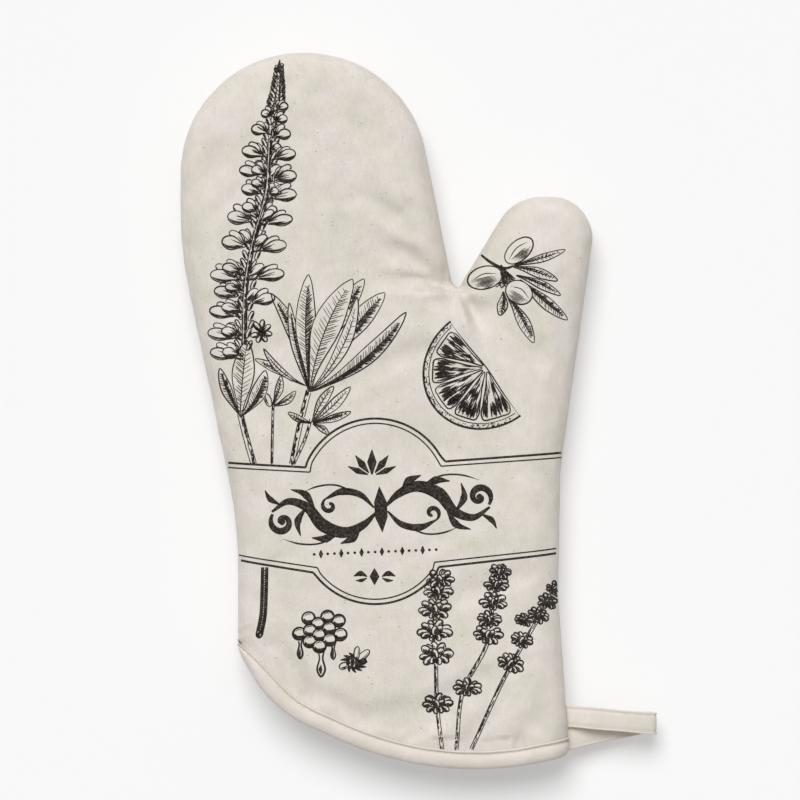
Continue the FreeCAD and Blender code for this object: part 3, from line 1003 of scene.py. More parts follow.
    def floret(self, place, stalk, radius, dark=0.6):
        """A pea-flower: two upright petals behind a plump one, all from one short stalk."""
        place, stalk = np.array(place, float), np.array(stalk, float)
        root = stalk + (place - stalk) * 0.30
        out = unit(place - stalk)
        face = 1 if out[0] > 0 else -1
        jog = self.rng.uniform(-0.18, 0.18, 4)
        self.blob([stalk, (stalk + root) / 2 + (0, -0.3), root + out * 0.8], [0.8, 0.9, 1.3])
        for x, y, width, share, line in (
                (-0.75 * face + jog[0], 0.98 + jog[1], 1.15, 1.0, 1.0),
                (0.10 * face + jog[1], 1.20 + jog[2], 1.25, 1.0, 1.0),
                (1.0 * face, 0.05 + jog[3], 1.72, 0.9, 1.15)):
            self.petal(root, place + (radius * x, radius * y), radius * width, dark * share, LINE * line)

    def scale(self, place, turn, long_half, short_half, dark=0.6, line=LINE):
        """A small petal or bud with a dark crescent on its lower side."""
        place = np.array(place, float)
        self.shape(oval(place, long_half, short_half, turn, 10), line)
        ahead = heading(math.radians(turn))
        low = below(ahead) * short_half
        self.blob([place - ahead * long_half * 0.7 + low * 0.25, place + low * 0.55,
                   place + ahead * long_half * 0.7 + low * 0.25], [0.15, short_half * 0.75 * dark, 0.15])

    def turned(self, centre, degrees):
        """Turns the whole motif about a point."""
        ahead = heading(math.radians(degrees))
        spin = np.array([ahead, left_of(ahead)])
        self.strokes = [((line - centre) @ spin + centre, w) for line, w in self.strokes]


SPIKE_AXIS = [                    # y, x of the stalk, from the tip down
    (160.0, -64.2), (147.0, -64.8), (136.0, -66.3), (125.8, -68.3), (114.7, -68.8), (101.8, -69.7),
    (89.8, -72.5), (79.8, -75.4), (68.3, -78.0), (54.5, -79.8), (37.0, -80.2), (30.0, -80.4),
    (-2.5, -82.1), (-24.0, -76.0),
]
SPIKE_FLORETS = [                 # x, y and radius, upper ones first
    (-70.1, 136.8, 2.3), (-62.5, 139.8, 2.2), (-63.0, 134.4, 2.4), (-73.9, 129.3, 2.9), (-62.0, 127.6, 2.9),
    (-78.0, 119.0, 3.2), (-65.6, 121.3, 2.1), (-59.8, 117.6, 3.0), (-79.4, 110.4, 3.0), (-74.0, 110.6, 2.8),
    (-66.4, 110.4, 2.2), (-59.8, 108.0, 3.4), (-78.3, 101.8, 3.1), (-74.6, 104.6, 2.3), (-59.8, 99.8, 3.4),
    (-67.0, 101.2, 2.4), (-84.2, 89.4, 3.6), (-78.4, 93.6, 2.7), (-67.6, 92.6, 2.3), (-61.2, 87.8, 3.0),
    (-86.7, 77.6, 3.7), (-64.4, 75.9, 3.4), (-92.4, 62.6, 3.4), (-87.4, 65.6, 2.8), (-65.2, 62.8, 3.2),
    (-90.8, 54.6, 3.2), (-86.6, 57.0, 2.4), (-69.4, 51.6, 3.1), (-93.0, 45.6, 3.2), (-88.0, 47.8, 2.7),
    (-93.8, 35.6, 3.3), (-88.0, 36.6, 2.7), (-92.8, 26.4, 3.2), (-87.4, 27.4, 2.8),
]


def axis_at(y):
    table = SPIKE_AXIS[::-1]
    return float(np.interp(y, [row[0] for row in table], [row[1] for row in table]))


def flower_spike():
    """A tall spike: scaly tip, florets in pairs down a thick stalk, bracts close to the stalk."""
    ink = Ink(101)
    ink.stem([(x, y) for y, x in SPIKE_AXIS[1:12]], 2.3, dark=2.0)
    y = 137.0
    while y < 159.0:
        spread = 0.4 + (160.0 - y) * 0.165
        for share in (-1, 1, 0.1):
            lift = ink.rng.uniform(-0.6, 0.6)
            ink.scale((axis_at(y) + share * spread * 0.8, y + lift), 90 - 30 * share, 1.9, 1.0, 1.7, 0.5)
        y += 1.7
    ink.blob([(-64.8, 155.5), (-64.4, 158.5), (-64.1, 161.4)], [2.2, 1.7, 0.4])
    y = 133.0
    while y > 30.0:
        for share in (-1, 1):
            reach = 1.9 + ink.rng.uniform(0, 1.4)
            ink.scale((axis_at(y) + share * reach, y + ink.rng.uniform(-0.8, 0.8)), 90 - 24 * share,
                      2.5, 0.95, 1.5, 0.5)
        y -= 3.3 if y > 92 else 4.6
    for x, y, radius in SPIKE_FLORETS:
        axis = axis_at(y - radius * 0.9)
        if abs(x - axis) > 9.5:
            inner = axis + (x - axis) * 0.55
            ink.petal((axis, y - radius * 0.4), (inner, y + radius * 1.3), radius * 1.3, 0.9)
        ink.floret((x, y), (axis, y - radius * 0.9), radius, 1.1 if y > 98 else 0.75)
    ink.stem([(x, y) for y, x in SPIKE_AXIS[3:12]], 1.5, dark=2.2)
    for k in range(7):
        a = math.radians(205 + 47 * k)
        ink.petal((-72.6, 35.4), (-72.6 + 5.2 * math.cos(a), 36.4 + 5.4 * math.sin(a)), 2.4, 1.4)
    ink.leaf((-82.4, -2.0), (-91.6, 19.4), 5.0, 1.0, 1.0, side_shaded=-1)
    ink.stem([(-82.1, -1.5), (-80.0, -10.0), (-76.0, -24.4)], 2.6, dark=2.0)
    return ink


def leaf_fans():
    """The big fan of leaves beside the spike, and the small ones round its foot."""
    ink = Ink(202)
    ink.stem([(-67.6, -24.4), (-67.3, -8.0), (-67.0, 3.0)], 0.9, dark=0.7)
    ink.scale((-72.4, 7.6), 100, 2.8, 2.2, 0.5)
    ink.leaf((-67.0, 2.2), (-56.6, 9.0), 3.4, -1.4, 0.6)
    ink.leaf((-67.4, 2.4), (-63.4, 16.0), 3.6, -1.0, 0.6)
    ink.scale((-69.4, 4.8), 110, 3.2, 1.5, 0.8)
    ink.leaf((-58.0, 13.4), (-75.4, 23.6), 3.6, -0.8, 0.7)
    ink.leaf((-52.0, 11.4), (-71.4, 28.4), 3.0, 2.4, 0.4)
    ink.stem([(-58.4, -24.6), (-55.0, -8.0), (-50.7, 9.2)], 2.3, dark=2.0)
    ink.stem([(-57.6, -24.6), (-52.0, -12.0), (-49.6, -4.0)], 1.1, dark=0.5)
    base = (-50.2, 8.6)
    ink.leaf((-46.5, 24.0), (-25.2, 60.4), 9.0, 1.0, 0.9, side_shaded=-1)
    ink.leaf((-38.0, 26.0), (-15.8, 54.0), 9.2, 1.0, 0.85, side_shaded=-1, neck=0.5)
    ink.leaf(base, (-67.9, 53.6), 6.6, -3.4, 1.0, side_shaded=1)
    ink.leaf(base, (-59.6, 49.4), 4.4, 1.4, 0.9, side_shaded=-1)
    ink.leaf(base, (-50.8, 62.4), 9.4, 1.6, 0.75, side_shaded=-1, neck=0.12)
    ink.leaf(base, (-6.0, 45.0), 7.6, -4.2, 1.0, side_shaded=-1)
    ink.leaf(base, (-28.4, 52.0), 6.0, -4.2, 0.2)
    ink.leaf(base, (-30.6, 60.2), 13.4, 3.4, 0.42, side_shaded=-1, neck=0.2)
    ink.leaf((-49.0, -5.6), (-39.2, 11.2), 4.4, 1.0, 0.45)
    ink.leaf((-49.0, -5.6), (-31.6, 10.8), 4.8, -0.8, 0.3)
    ink.leaf((-49.0, -5.8), (-31.2, -0.6), 3.4, -0.6, 1.0)
    ink.leaf((-49.4, -5.8), (-60.2, -0.8), 3.0, 0.6, 0.9)
    ink.leaf((-49.0, -6.2), (-41.4, -11.0), 2.8, 0.6, 0.7)
    ink.leaf((-82.0, -2.8), (-70.4, 18.4), 7.0, -2.0, 0.9, side_shaded=-1)
    ink.leaf((-82.2, -3.0), (-79.0, 32.0), 10.4, 0.4, 0.4, side_shaded=1)
    return ink


SLICE_CENTRE = np.array([30.9, 19.6])
SLICE_HALF = 26.9                 # half of its straight edge
SLICE_DEEP = 30.0                 # from the straight edge to the far side of the rind
SLICE_TURN = -53.4                # the way of the straight edge, degrees


def on_slice(angle, share):
    """A point on the slice by its angle round the core and its share of the way to the rind."""
    along = heading(math.radians(SLICE_TURN)) * SLICE_HALF
    deep = -left_of(along) * SLICE_DEEP
    a = math.radians(angle)
    return SLICE_CENTRE + share * (along * math.cos(a) + deep * math.sin(a))


def citrus_slice():
    """Half a slice: rind, pith, segments and their pulp."""
    ink = Ink(303)
    ink.stroke([on_slice(a, 1.0) for a in np.linspace(1, 179, 40)], 1.0, (0.9, 0.9), 0.8)
    for _ in range(150):
        a = ink.rng.uniform(4, 176)
        share = ink.rng.uniform(0.93, 0.985)
        ink.stroke([on_slice(a, share), on_slice(a + ink.rng.uniform(0.8, 2.4), share)], 0.45, step=0.6)
    ink.stroke([on_slice(a, 0.915) for a in np.linspace(4, 176, 36)], 0.45, (0.8, 0.8), 0.8)
    edge = ((2, 0.99), (3, 0.5), (0, 0.02), (177, 0.5), (178, 0.99))
    ink.stroke([on_slice(a, share) for a, share in edge], 0.6)
    spans = ((5, 40), (43, 72), (75, 108), (111, 141), (144, 175))
    for low, high in spans:
        middle = (low + high) / 2
        half = (high - low) / 2
        flank = ((0.3, 0.75), (0.6, 0.95), (0.78, 0.98))
        ink.shape([on_slice(middle, 0.07)] + [on_slice(middle - half * wide, share) for share, wide in flank]
                  + [on_slice(a, 0.855) for a in np.linspace(low + 3, high - 3, 4)]
                  + [on_slice(middle + half * wide, share) for share, wide in flank[::-1]], 0.6)
        for _ in range(20):
            a = ink.rng.uniform(low + 4, high - 4)
            inner = ink.rng.uniform(0.50, 0.70)
            outer = ink.rng.uniform(0.76, 0.84)
            ink.blob([on_slice(a, inner), on_slice(a, (inner + outer) / 2 + 0.03), on_slice(a, outer)],
                     [0.2, ink.rng.uniform(0.5, 1.9), 0.5])
        for _ in range(26):
            a = middle + ink.rng.uniform(-0.8, 0.8) * half
            inner = ink.rng.uniform(0.16, 0.55)
            outer = inner + ink.rng.uniform(0.08, 0.26)
            ink.blob([on_slice(a, inner), on_slice(a + ink.rng.uniform(-1, 1), (inner + outer) / 2),
                      on_slice(a, outer)], [0.15, ink.rng.uniform(0.25, 0.95), 0.15])
        for a in (low + 2.5, high - 2.5):
            ink.stroke([on_slice(a, 0.5), on_slice(a, 0.8)], 0.9)
    return ink


def thumb_sprig():
    """A sprig with narrow leaves and three plump fruits."""
    ink = Ink(404)
    ink.leaf((43.5, 66.6), (67.2, 73.8), 3.6, -0.6, 0.6)
    ink.leaf((43.0, 66.0), (63.6, 59.6), 4.6, 0.8, 0.7)
    ink.leaf((44.5, 62.0), (65.0, 52.8), 4.0, 0.8, 0.8)
    ink.leaf((46.0, 60.0), (68.2, 41.6), 5.6, -0.4, 1.0)
    ink.leaf((40.8, 52.0), (52.6, 31.0), 5.6, 0.6, 0.8)
    ink.leaf((38.6, 54.6), (37.0, 43.6), 4.8, 0.6, 0.9)
    for k in range(5):
        ink.leaf((39.0, 64.6), (45.6 - 2.6 * k, 55.0 + 0.4 * k), 2.6, 0.3, 1.0)
    for centre, long_half, short_half, turn, dark in (
            ((30.2, 61.0), 8.0, 5.2, 14, 1.0), ((45.8, 54.2), 6.4, 5.2, 150, 0.5),
            ((45.8, 73.4), 7.8, 4.5, 42, 0.6)):
        ink.shape(oval(centre, long_half, short_half, turn), LINE * 1.15)
        ahead = heading(math.radians(turn)) * long_half
        low = below(ahead) * short_half
        for k in range(int(6 + 4 * dark)):
            off = 0.93 - (0.70 + 0.35 * dark) * k / (6 + 4 * dark)
            reach = math.sqrt(max(0.04, 1 - off * off)) * ink.rng.uniform(0.55, 0.95)
            shift = ink.rng.uniform(-0.15, 0.15)
            ink.stroke([centre + ahead * (shift - reach) * 0.9 + low * off,
                        centre + ahead * (shift + reach) * 0.75 + low * off],
                       0.34 + 0.10 * ink.rng.uniform(0, 1) * dark)
        ink.stroke([centre - ahead * 0.8, centre - low * 0.35, centre + ahead * 0.7 - low * 0.1], 0.42)
    ink.blob([(27.6, 72.6), (33.0, 68.0), (39.6, 65.2), (43.6, 66.4)], [0.8, 1.3, 1.6, 0.8])
    ink.blob([(37.6, 66.8), (38.4, 62.0), (38.8, 58.6)], [0.9, 2.2, 0.6])
    return ink


LAVENDER = [                      # stem points, then whorls as x, y, half-width, tilt in degrees
    ([(10.6, -156.0), (8.2, -135.0), (7.6, -112.0), (6.9, -93.5), (9.7, -75.1)],
     [(9.8, -78.0, 6.2, 4), (8.6, -83.5, 6.4, 3), (7.2, -92.0, 7.4, 0), (7.0, -102.0, 7.6, 0),
      (7.6, -112.6, 7.6, 2), (8.4, -135.6, 7.0, 3)]),
    ([(17.1, -155.6), (20.1, -129.0), (31.6, -105.4), (33.2, -93.5), (37.6, -73.8)],
     [(37.0, -74.6, 5.0, -10), (35.4, -80.5, 5.6, -10), (34.0, -88.6, 6.2, -8), (32.0, -96.6, 5.6, -8),
      (31.4, -103.6, 6.8, -6), (22.0, -128.0, 6.4, -10)]),
    ([(24.0, -155.6), (39.5, -122.0), (45.5, -111.0), (54.0, -96.6), (62.0, -83.0)],
     [(62.2, -82.5, 4.4, -38), (58.6, -88.4, 4.8, -36), (54.4, -94.4, 5.0, -36), (48.0, -96.6, 4.4, -10),
      (46.8, -106.0, 5.2, -24), (41.6, -116.6, 6.2, -22)]),
]


def whorl(ink, centre, half, tilt):
    """A ring of plump little buds round a lavender stem."""
    centre = np.array(centre, float)
    for angle, away, size in (
            (4, 0.62, 0.34), (-26, 0.62, 0.36), (30, 0.64, 0.34), (-50, 0.68, 0.38), (56, 0.68, 0.38),
            (-84, 0.70, 0.34), (82, 0.70, 0.36), (-116, 0.56, 0.30), (114, 0.56, 0.30), (-160, 0.34, 0.26),
            (156, 0.34, 0.28), (-38, 0.30, 0.34), (34, 0.32, 0.34), (-4, 0.16, 0.32)):
        a = math.radians(90 - angle + tilt + ink.rng.uniform(-13, 13))
        ahead = heading(a)
        size = size * half * ink.rng.uniform(0.8, 1.12)
        place = centre + ahead * half * away * (1, 0.80)
        ink.scale(place, math.degrees(a), size, size * 0.62, 1.25, 0.72)
        ink.stroke([place - ahead * size * 0.7, place + ahead * size * 0.35], 0.6, (1.0, 0.3), 0.7)
    for k in range(3):
        spot = centre + (ink.rng.uniform(-0.3, 0.3) * half, ink.rng.uniform(-0.3, 0.05) * half)
        ink.dot(spot, 1.0)


def lavender():
    ink = Ink(505)
    for stalk, whorls in LAVENDER:
        ink.stem(stalk, 1.5, line=0.46, dark=0.9)
        for x, y, half, tilt in whorls[::-1]:
            whorl(ink, (x, y), half, tilt)
    return ink


COMB_CELLS = [
    (-51.2, -94.8), (-41.9, -94.2), (-36.4, -96.2), (-46.6, -97.6), (-55.6, -102.4), (-50.4, -100.8),
    (-41.2, -99.6), (-35.6, -102.8), (-46.0, -103.0), (-50.6, -106.2), (-40.8, -105.4), (-45.8, -108.6),
]


def honeycomb_and_bee():
    ink = Ink(606)
    drips = ((-54.6, -103.0, -112.4, 2.0), (-45.0, -108.0, -119.6, 3.4), (-39.4, -106.0, -112.8, 1.9))
    for x, top, low, size in drips:
        flank = ((0.3, top), (0.22, (top + low) / 2), (0.5, low))
        ink.shape([(x - size * share, y) for share, y in flank] + [(x, low - size * 0.75)]
                  + [(x + size * share, y) for share, y in flank[::-1]], 0.8)
        ink.blob([(x, low + 3.0), (x - size * 0.1, low + 0.5), (x, low - size * 0.4)],
                 [0.2, size * 0.55, 0.4])
    for x, y in COMB_CELLS:
        x = -45.4 + (x + 45.4) * 0.94
        y = -101.6 + (y + 101.6) * 0.94
        ink.shape(oval((x, y), 2.95, 2.75, 20), 0.95)
        ink.blob([(x - 2.1, y - 0.2), (x - 1.2, y - 1.7), (x + 0.8, y - 1.9), (x + 2.1, y - 0.7)],
                 [0.4, 1.8, 2.1, 0.4])
        ink.stroke([(x - 1.7, y + 0.9), (x - 0.4, y + 1.9), (x + 1.2, y + 1.6)], 0.38)
    bx, by = -30.0, -115.6
    for k in range(13):
        a = math.radians(28 * k + 10)
        ink.blob([(bx + 2.4 * math.cos(a), by + 2.0 * math.sin(a)),
                  (bx + 4.4 * math.cos(a + 0.12), by + 3.3 * math.sin(a + 0.12)),
                  (bx + 6.3 * math.cos(a + 0.3), by + 4.8 * math.sin(a + 0.3))], [1.9, 1.5, 0.4])
    ink.scale((bx + 4.6, by + 3.4), 42, 3.4, 1.5, 0.3)
    ink.scale((bx + 1.4, by + 4.2), 84, 3.2, 1.3, 0.4)
    ink.scale((bx - 4.6, by - 1.6), 200, 2.2, 1.5, 0.9)
    for k in range(4):
        share = (k - 1.5) / 1.5
        reach = 2.7 * math.sqrt(max(0.1, 1 - 0.8 * share ** 2))
        x = bx + 3.0 * share
        ink.blob([(x - 0.2, by - reach), (x + 0.5, by), (x + 0.1, by + reach)], [0.9, 2.1, 0.9])
    ink.dot((bx + 4.6, by + 0.6), 3.0)
    return ink


STALK = [(-70.9, -72.0), (-71.2, -84.0), (-71.8, -95.0), (-73.4, -103.0)]


def stalk_end():
    """The cut end of the spike's stalk, below the label band."""
    ink = Ink(707)
    for side in (-0.95, 0.95):
        ink.blob([(x + side, y) for x, y in STALK], [1.45, 1.6, 1.6, 1.7])
    ink.dot((-73.5, -103.2), 3.2)
    for k in range(26):
        y = -73.5 - 1.15 * k
        x = float(np.interp(-y, [-row[1] for row in STALK], [row[0] for row in STALK]))
        ink.stroke([(x - 1.55, y - 0.3), (x, y), (x + 1.55, y - 0.3)], 0.6, (1.0, 1.0), 0.6)
    return ink


# The label band: two straight lines each side and a round bump in the middle of each.
BUMP_RADIUS = 34.6
BAND_LINES = [                    # left end, bump's left foot, bump centre, right foot, right end, way
    ((-88.9, -24.0), (-52.1, -26.1), (-20.1, -38.3), (12.0, -23.4), (66.5, -19.4), 1),
    ((-84.0, -68.7), (-48.7, -74.3), (-20.3, -54.2), (9.0, -71.8), (66.0, -65.4), -1),
]


def label_band():
    ink = Ink(808)
    for left, foot, centre, other, right, way in BAND_LINES:
        for inward, width in ((0.0, 1.0), (2.2, 0.62)):
            shift = np.array([0.0, -way * inward])
            radius = BUMP_RADIUS - inward
            first, last = (math.atan2(end[1] - centre[1], end[0] - centre[0]) for end in (foot, other))
            if way > 0 and first < last:
                first += math.tau
            if way < 0 and last < first:
                last += math.tau
            arc = [centre + radius * heading(a) for a in np.linspace(first, last, 26)[1:-1]]
            slip = np.array([inward * 0.9, 0.0])
            start, end = foot + shift + slip, other + shift - slip
            for path in ([left + shift, start], [start] + arc + [end], [end, right + shift]):
                ink.stroke(path, width, (1, 1))
    return ink


def spiral(centre, start, turns, radius, shrink):
    """A line that winds inwards from a point on a circle."""
    return [centre + radius * (1 - t + shrink * t) * heading(start + turns * math.tau * t)
            for t in np.linspace(0, 1, 22)]


LABEL_CENTRE = (-17.6, -45.4)
SCROLLS = [                       # half of the scroll: centre line and widths; the other half is turned
    ([(1.5, 0.5), (8, 6.2), (17, 9.4), (27, 5.4), (34, -3.6), (42, -6.6), (50, -2.4)],
     [0.8, 3.6, 5.2, 6.0, 4.6, 3.2, 1.0]),
    ([(3, -1), (9, -7.4), (17.5, -9.4), (25, -6.6)], [0.7, 2.8, 3.4, 0.8]),
    ([(10, 7.6), (13.5, 12.0), (19.5, 14.4)], [0.6, 4.0, 0.4]),
    ([(20, 9.2), (26.0, 11.6), (32.5, 10.8)], [0.6, 3.8, 0.4]),
    ([(30, -2.0), (34.5, -9.6), (40.5, -12.0)], [0.6, 3.6, 0.4]),
    ([(34, -3.6), (38.6, 3.6), (37.6, 9.6)], [0.6, 3.4, 0.4]),
    ([(46, -5.4), (50.6, -8.6), (52.4, -12.4)], [0.6, 2.8, 0.4]),
]


ABOVE_LABEL = (-21.7, -28.6)
BELOW_LABEL = (-20.5, -76.2)
LABEL_LEAVES = [                  # root, then centre line and widths of the right-hand leaf
    (*ABOVE_LABEL, [(1.4, 0.0), (4.6, 4.0), (7.6, 8.0)], [0.5, 3.4, 0.3]),
    (*ABOVE_LABEL, [(1.8, -0.8), (6.4, 0.9), (11.0, 3.0)], [0.5, 2.8, 0.3]),
    (*BELOW_LABEL, [(3.4, 0.0), (6.2, 1.4), (9.6, 0.2)], [0.4, 2.8, 0.3]),
    (*BELOW_LABEL, [(3.5, -0.7), (5.8, -1.7), (8.6, -1.8)], [0.4, 1.8, 0.3]),
]


def label_ornament():
    """A bold scroll with leaves, and small plain devices above and below it."""
    ink = Ink(909)
    cx, cy = LABEL_CENTRE
    for way in (-1, 1):
        def at(place, way=way):
            return (cx + way * place[0], cy + way * place[1])
        for path, widths in SCROLLS:
            ink.blob([at(point) for point in path], widths)
        end = at((45.6, 2.6))
        flip = 0 if way > 0 else 180
        ink.blob(spiral(end, math.radians(flip - 44), 1.15, 5.6, 0.18), [1.2, 2.8, 3.2, 2.4, 1.6])
        ink.dot(end, 3.0)
        curl = at((23.4, -3.4))
        ink.blob(spiral(curl, math.radians(flip - 64), 0.95, 3.6, 0.2), [0.8, 2.0, 2.2, 1.4])
        ink.stroke([at((21, 10.6)), at((29, 13.6)), at((38, 13.2)), at((46, 10.4))], 0.8, (0.9, 0.2))
        ink.stroke([at((12, -9.0)), at((20, -12.6)), at((29, -12.4)), at((35, -10.4))], 0.8, (0.9, 0.2))
    ink.blob([(cx, cy + 10.4), (cx, cy + 3.6), (cx, cy - 3.6), (cx, cy - 10.4)], [0.3, 5.8, 5.8, 0.3])
    ink.turned(LABEL_CENTRE, 4.0)
    small = Ink(910)
    ux, uy = ABOVE_LABEL
    small.blob([(ux, uy - 0.8), (ux, uy + 5.0), (ux, uy + 10.6)], [0.6, 4.4, 0.4])
    lx, ly = BELOW_LABEL
    small.blob([(lx, ly - 3.8), (lx, ly), (lx, ly + 3.8)], [0.3, 4.6, 0.3])
    for way in (-1, 1):
        for x, y, path, widths in LABEL_LEAVES:
            small.blob([(x + way * a, y + b) for a, b in path], widths)
    for k in range(19):
        x = -48.2 + 56.0 * k / 18
        y = -66.0 + 2.2 * k / 18
        if k % 3 == 1:
            small.blob([(x, y - 1.9), (x, y), (x, y + 1.9)], [0.3, 2.1, 0.3])
        else:
            small.dot((x, y), 1.3)
    ink.strokes += small.strokes
    return ink


INK_LIFT = 0.09                   # the ink stands this proud of the cloth, mm
INK_SUNK = 0.07                   # and reaches this deep into it
INK_COLUMN = 1.3                  # a wide stroke has a column of faces for each of these
INK_FACING = 0.30                 # no ink where the cloth's normal has less than this of +Z
ABOVE = 90.0                      # rays start this high over the table


def drape(name, ink, cloth, material, part):
    """Lays a motif on the front as thin closed ribbons of ink, cut where the front turns away."""
    points, faces = [], []
    down = Vector((0, 0, -1))
    for line, width in ink.strokes:
        shares = np.linspace(-0.5, 0.5, 2 + int(width.max() / INK_COLUMN))
        rings = []
        for centre, side, wide in zip(line, left_of(np.gradient(line, axis=0)), width):
            hits = [cloth.ray_cast(Vector((*(centre + side * wide * share), ABOVE)), down)
                    for share in shares]
            if any(place is None or normal.z < INK_FACING for place, normal, _, _ in hits):
                rings.append(None)
                continue
            hits = [(np.array(place), np.array(normal)) for place, normal, _, _ in hits]
            rings.append([place - normal * INK_SUNK for place, normal in hits]
                         + [place + normal * INK_LIFT for place, normal in hits[::-1]])
        for start, end in stretches([ring is not None for ring in rings]):
            loft(points, faces, rings[start:end])
    obj = new_mesh(name, points, faces, material)
    follow(obj, part)


MOTIFS = {
    "print_flower_spike": (flower_spike, "hand"),
    "print_leaf_fans": (leaf_fans, "hand"),
    "print_citrus_slice": (citrus_slice, "hand"),
    "print_thumb_sprig": (thumb_sprig, "thumb"),
    "print_lavender": (lavender, "hand"),
    "print_honeycomb": (honeycomb_and_bee, "hand"),
    "print_stalk_end": (stalk_end, "hand"),
    "print_label_band": (label_band, "hand"),
    "print_label_ornament": (label_ornament, "hand"),
}


def printed_front(skin, material):
    faces = [tuple(f.vertices) for f in skin.data.polygons]
    cloth = BVHTree.FromPolygons(points_of(skin.data).tolist(), faces)
    for name, (draw, part) in MOTIFS.items():
        drape(name, draw(), cloth, material, part)


# ------------------------------------------------------------------ materials
WAVE_SCALE = math.tau / 20        # a wave texture of this scale has a period of 1


def nodes_of(name):
    material = bpy.data.materials.new(name)
    material.use_nodes = True
    tree = material.node_tree
    shader = tree.nodes["Principled BSDF"]
    shader.inputs["Roughness"].default_value = 0.92
    shader.inputs["Specular IOR Level"].default_value = 0.2
    return material, tree, shader


def texture(tree, kind, place, output="Fac", **values):
    """The output of a texture node that is read at a place."""
    made = tree.nodes.new("ShaderNodeTex" + kind)
    for key, value in values.items():
        made.inputs[key.replace("_", " ")].default_value = value
    if place is not None:
        tree.links.new(place, made.inputs["Vector"])
    return made.outputs[output]


def mix(tree, a, b, share):
    made = tree.nodes.new("ShaderNodeMix")
    made.data_type = "FLOAT"
    made.inputs[0].default_value = share
    tree.links.new(a, made.inputs[2])
    tree.links.new(b, made.inputs[3])
    return made.outputs[0]


def towards(tree, share, colour, other, kind="MIX"):
    """A colour output that goes towards another colour by a linked share."""
    made = tree.nodes.new("ShaderNodeMix")
    made.data_type = "RGBA"
    made.blend_type = kind
    tree.links.new(share, made.inputs[0])
    tree.links.new(colour, made.inputs[6])
    made.inputs[7].default_value = (*other, 1)
    return made.outputs[2]


def ramp(tree, value, dark, light, low=0.0, high=1.0):
    """A colour from dark to light as the value goes from low to high."""
    made = tree.nodes.new("ShaderNodeValToRGB")
    for element, position, colour in zip(made.color_ramp.elements, (low, high), (dark, light)):
        element.position = position
        element.color = (*colour, 1)
    tree.links.new(value, made.inputs["Fac"])
    return made.outputs["Color"]


def finish_shader(tree, shader, colour, height=None, strength=0.0, distance=0.0):
    """Links a colour and, where there is one, a bump whose distance is in mm."""
    tree.links.new(colour, shader.inputs["Base Color"])
    if height is not None:
        made = tree.nodes.new("ShaderNodeBump")
        made.inputs["Strength"].default_value = strength
        made.inputs["Distance"].default_value = distance * MM
        tree.links.new(height, made.inputs["Height"])
        tree.links.new(made.outputs["Normal"], shader.inputs["Normal"])


def tinted(colour, *shares):
    return tuple(part * share for part, share in zip(colour, shares))


def place_on(tree, source, scale=(1, 1, 1), turn=0.0):
    """Places in metres, in the object or on the cloth by its UV map, scaled and turned."""
    coords = tree.nodes.new("ShaderNodeTexCoord")
    mapping = tree.nodes.new("ShaderNodeMapping")
    mapping.inputs["Scale"].default_value = scale
    mapping.inputs["Rotation"].default_value = (0, 0, turn)
    tree.links.new(coords.outputs[source], mapping.inputs["Vector"])
    return mapping.outputs["Vector"]


def woven(name, light, dark, thread=0.55, fleck=0.0, diagonal=0.5, bump=0.35):
    """Cotton cloth: crossing threads and a twill line in the bump, slow mottling, small flecks."""
    material, tree, shader = nodes_of(name)
    shader.inputs["Sheen Weight"].default_value = 0.15
    shader.inputs["Sheen Roughness"].default_value = 0.6
    cloth = place_on(tree, "UV")

    def wave(turn, length, distortion=1.5):
        return texture(tree, "Wave", place_on(tree, "UV", turn=turn), Distortion=distortion,
                       Scale=WAVE_SCALE / (length * MM), Detail=2.0, Detail_Scale=1.4)

    weave = mix(tree, wave(0.0, thread), wave(math.pi / 2, thread), 0.5)
    weave = mix(tree, weave, wave(math.radians(36), thread * 1.7, 0.8), diagonal)
    fine = texture(tree, "Noise", cloth, Scale=900.0, Detail=3.0)
    slow = texture(tree, "Noise", cloth, Scale=120.0, Detail=5.0)
    blotch = texture(tree, "Noise", cloth, Scale=42.0, Detail=3.0)
    stretched = place_on(tree, "UV", (700, 260, 500), math.radians(40))
    slub = texture(tree, "Noise", stretched, Scale=1.0, Detail=2.0)

    tone = mix(tree, mix(tree, slow, fine, 0.35), slub, 0.3)
    colour = ramp(tree, mix(tree, tone, weave, 0.22), dark, light, 0.3, 0.72)
    spread = tree.nodes.new("ShaderNodeMapRange")
    spread.inputs["From Min"].default_value = 0.40
    spread.inputs["From Max"].default_value = 0.64
    tree.links.new(blotch, spread.inputs["Value"])
    colour = towards(tree, spread.outputs["Result"], colour, (0.935, 0.950, 0.895), "MULTIPLY")
    if fleck:
        spots = texture(tree, "Voronoi", place_on(tree, "UV", (150, 230, 180), 0.5), "Distance", Scale=1.0)
        spots = ramp(tree, spots, (fleck, fleck, fleck), (0, 0, 0), 0.04, 0.11)
        colour = towards(tree, spots, colour, tinted(dark, 0.6, 0.54, 0.46))
    finish_shader(tree, shader, colour, mix(tree, weave, fine, 0.3), bump, 0.22)
    return material


def felt(name, colour):
    """Needled wadding: matt, fibrous, uneven."""
    material, tree, shader = nodes_of(name)
    noise = texture(tree, "Noise", place_on(tree, "Object", (1, 0.3, 1), 0.4), Scale=420.0, Detail=6.0)
    finish_shader(tree, shader, ramp(tree, noise, tinted(colour, 0.82, 0.8, 0.76), colour), noise, 0.5, 0.5)
    return material


def spun_thread(name, colour):
    """Sewing thread: a fine twist along it."""
    material, tree, shader = nodes_of(name)
    shader.inputs["Sheen Weight"].default_value = 0.2
    twist = texture(tree, "Wave", place_on(tree, "Object", turn=0.7), Distortion=0.4,
                    Scale=WAVE_SCALE / (0.35 * MM))
    finish_shader(tree, shader, ramp(tree, twist, tinted(colour, 0.75, 0.73, 0.7), colour), twist, 0.4, 0.1)
    return material


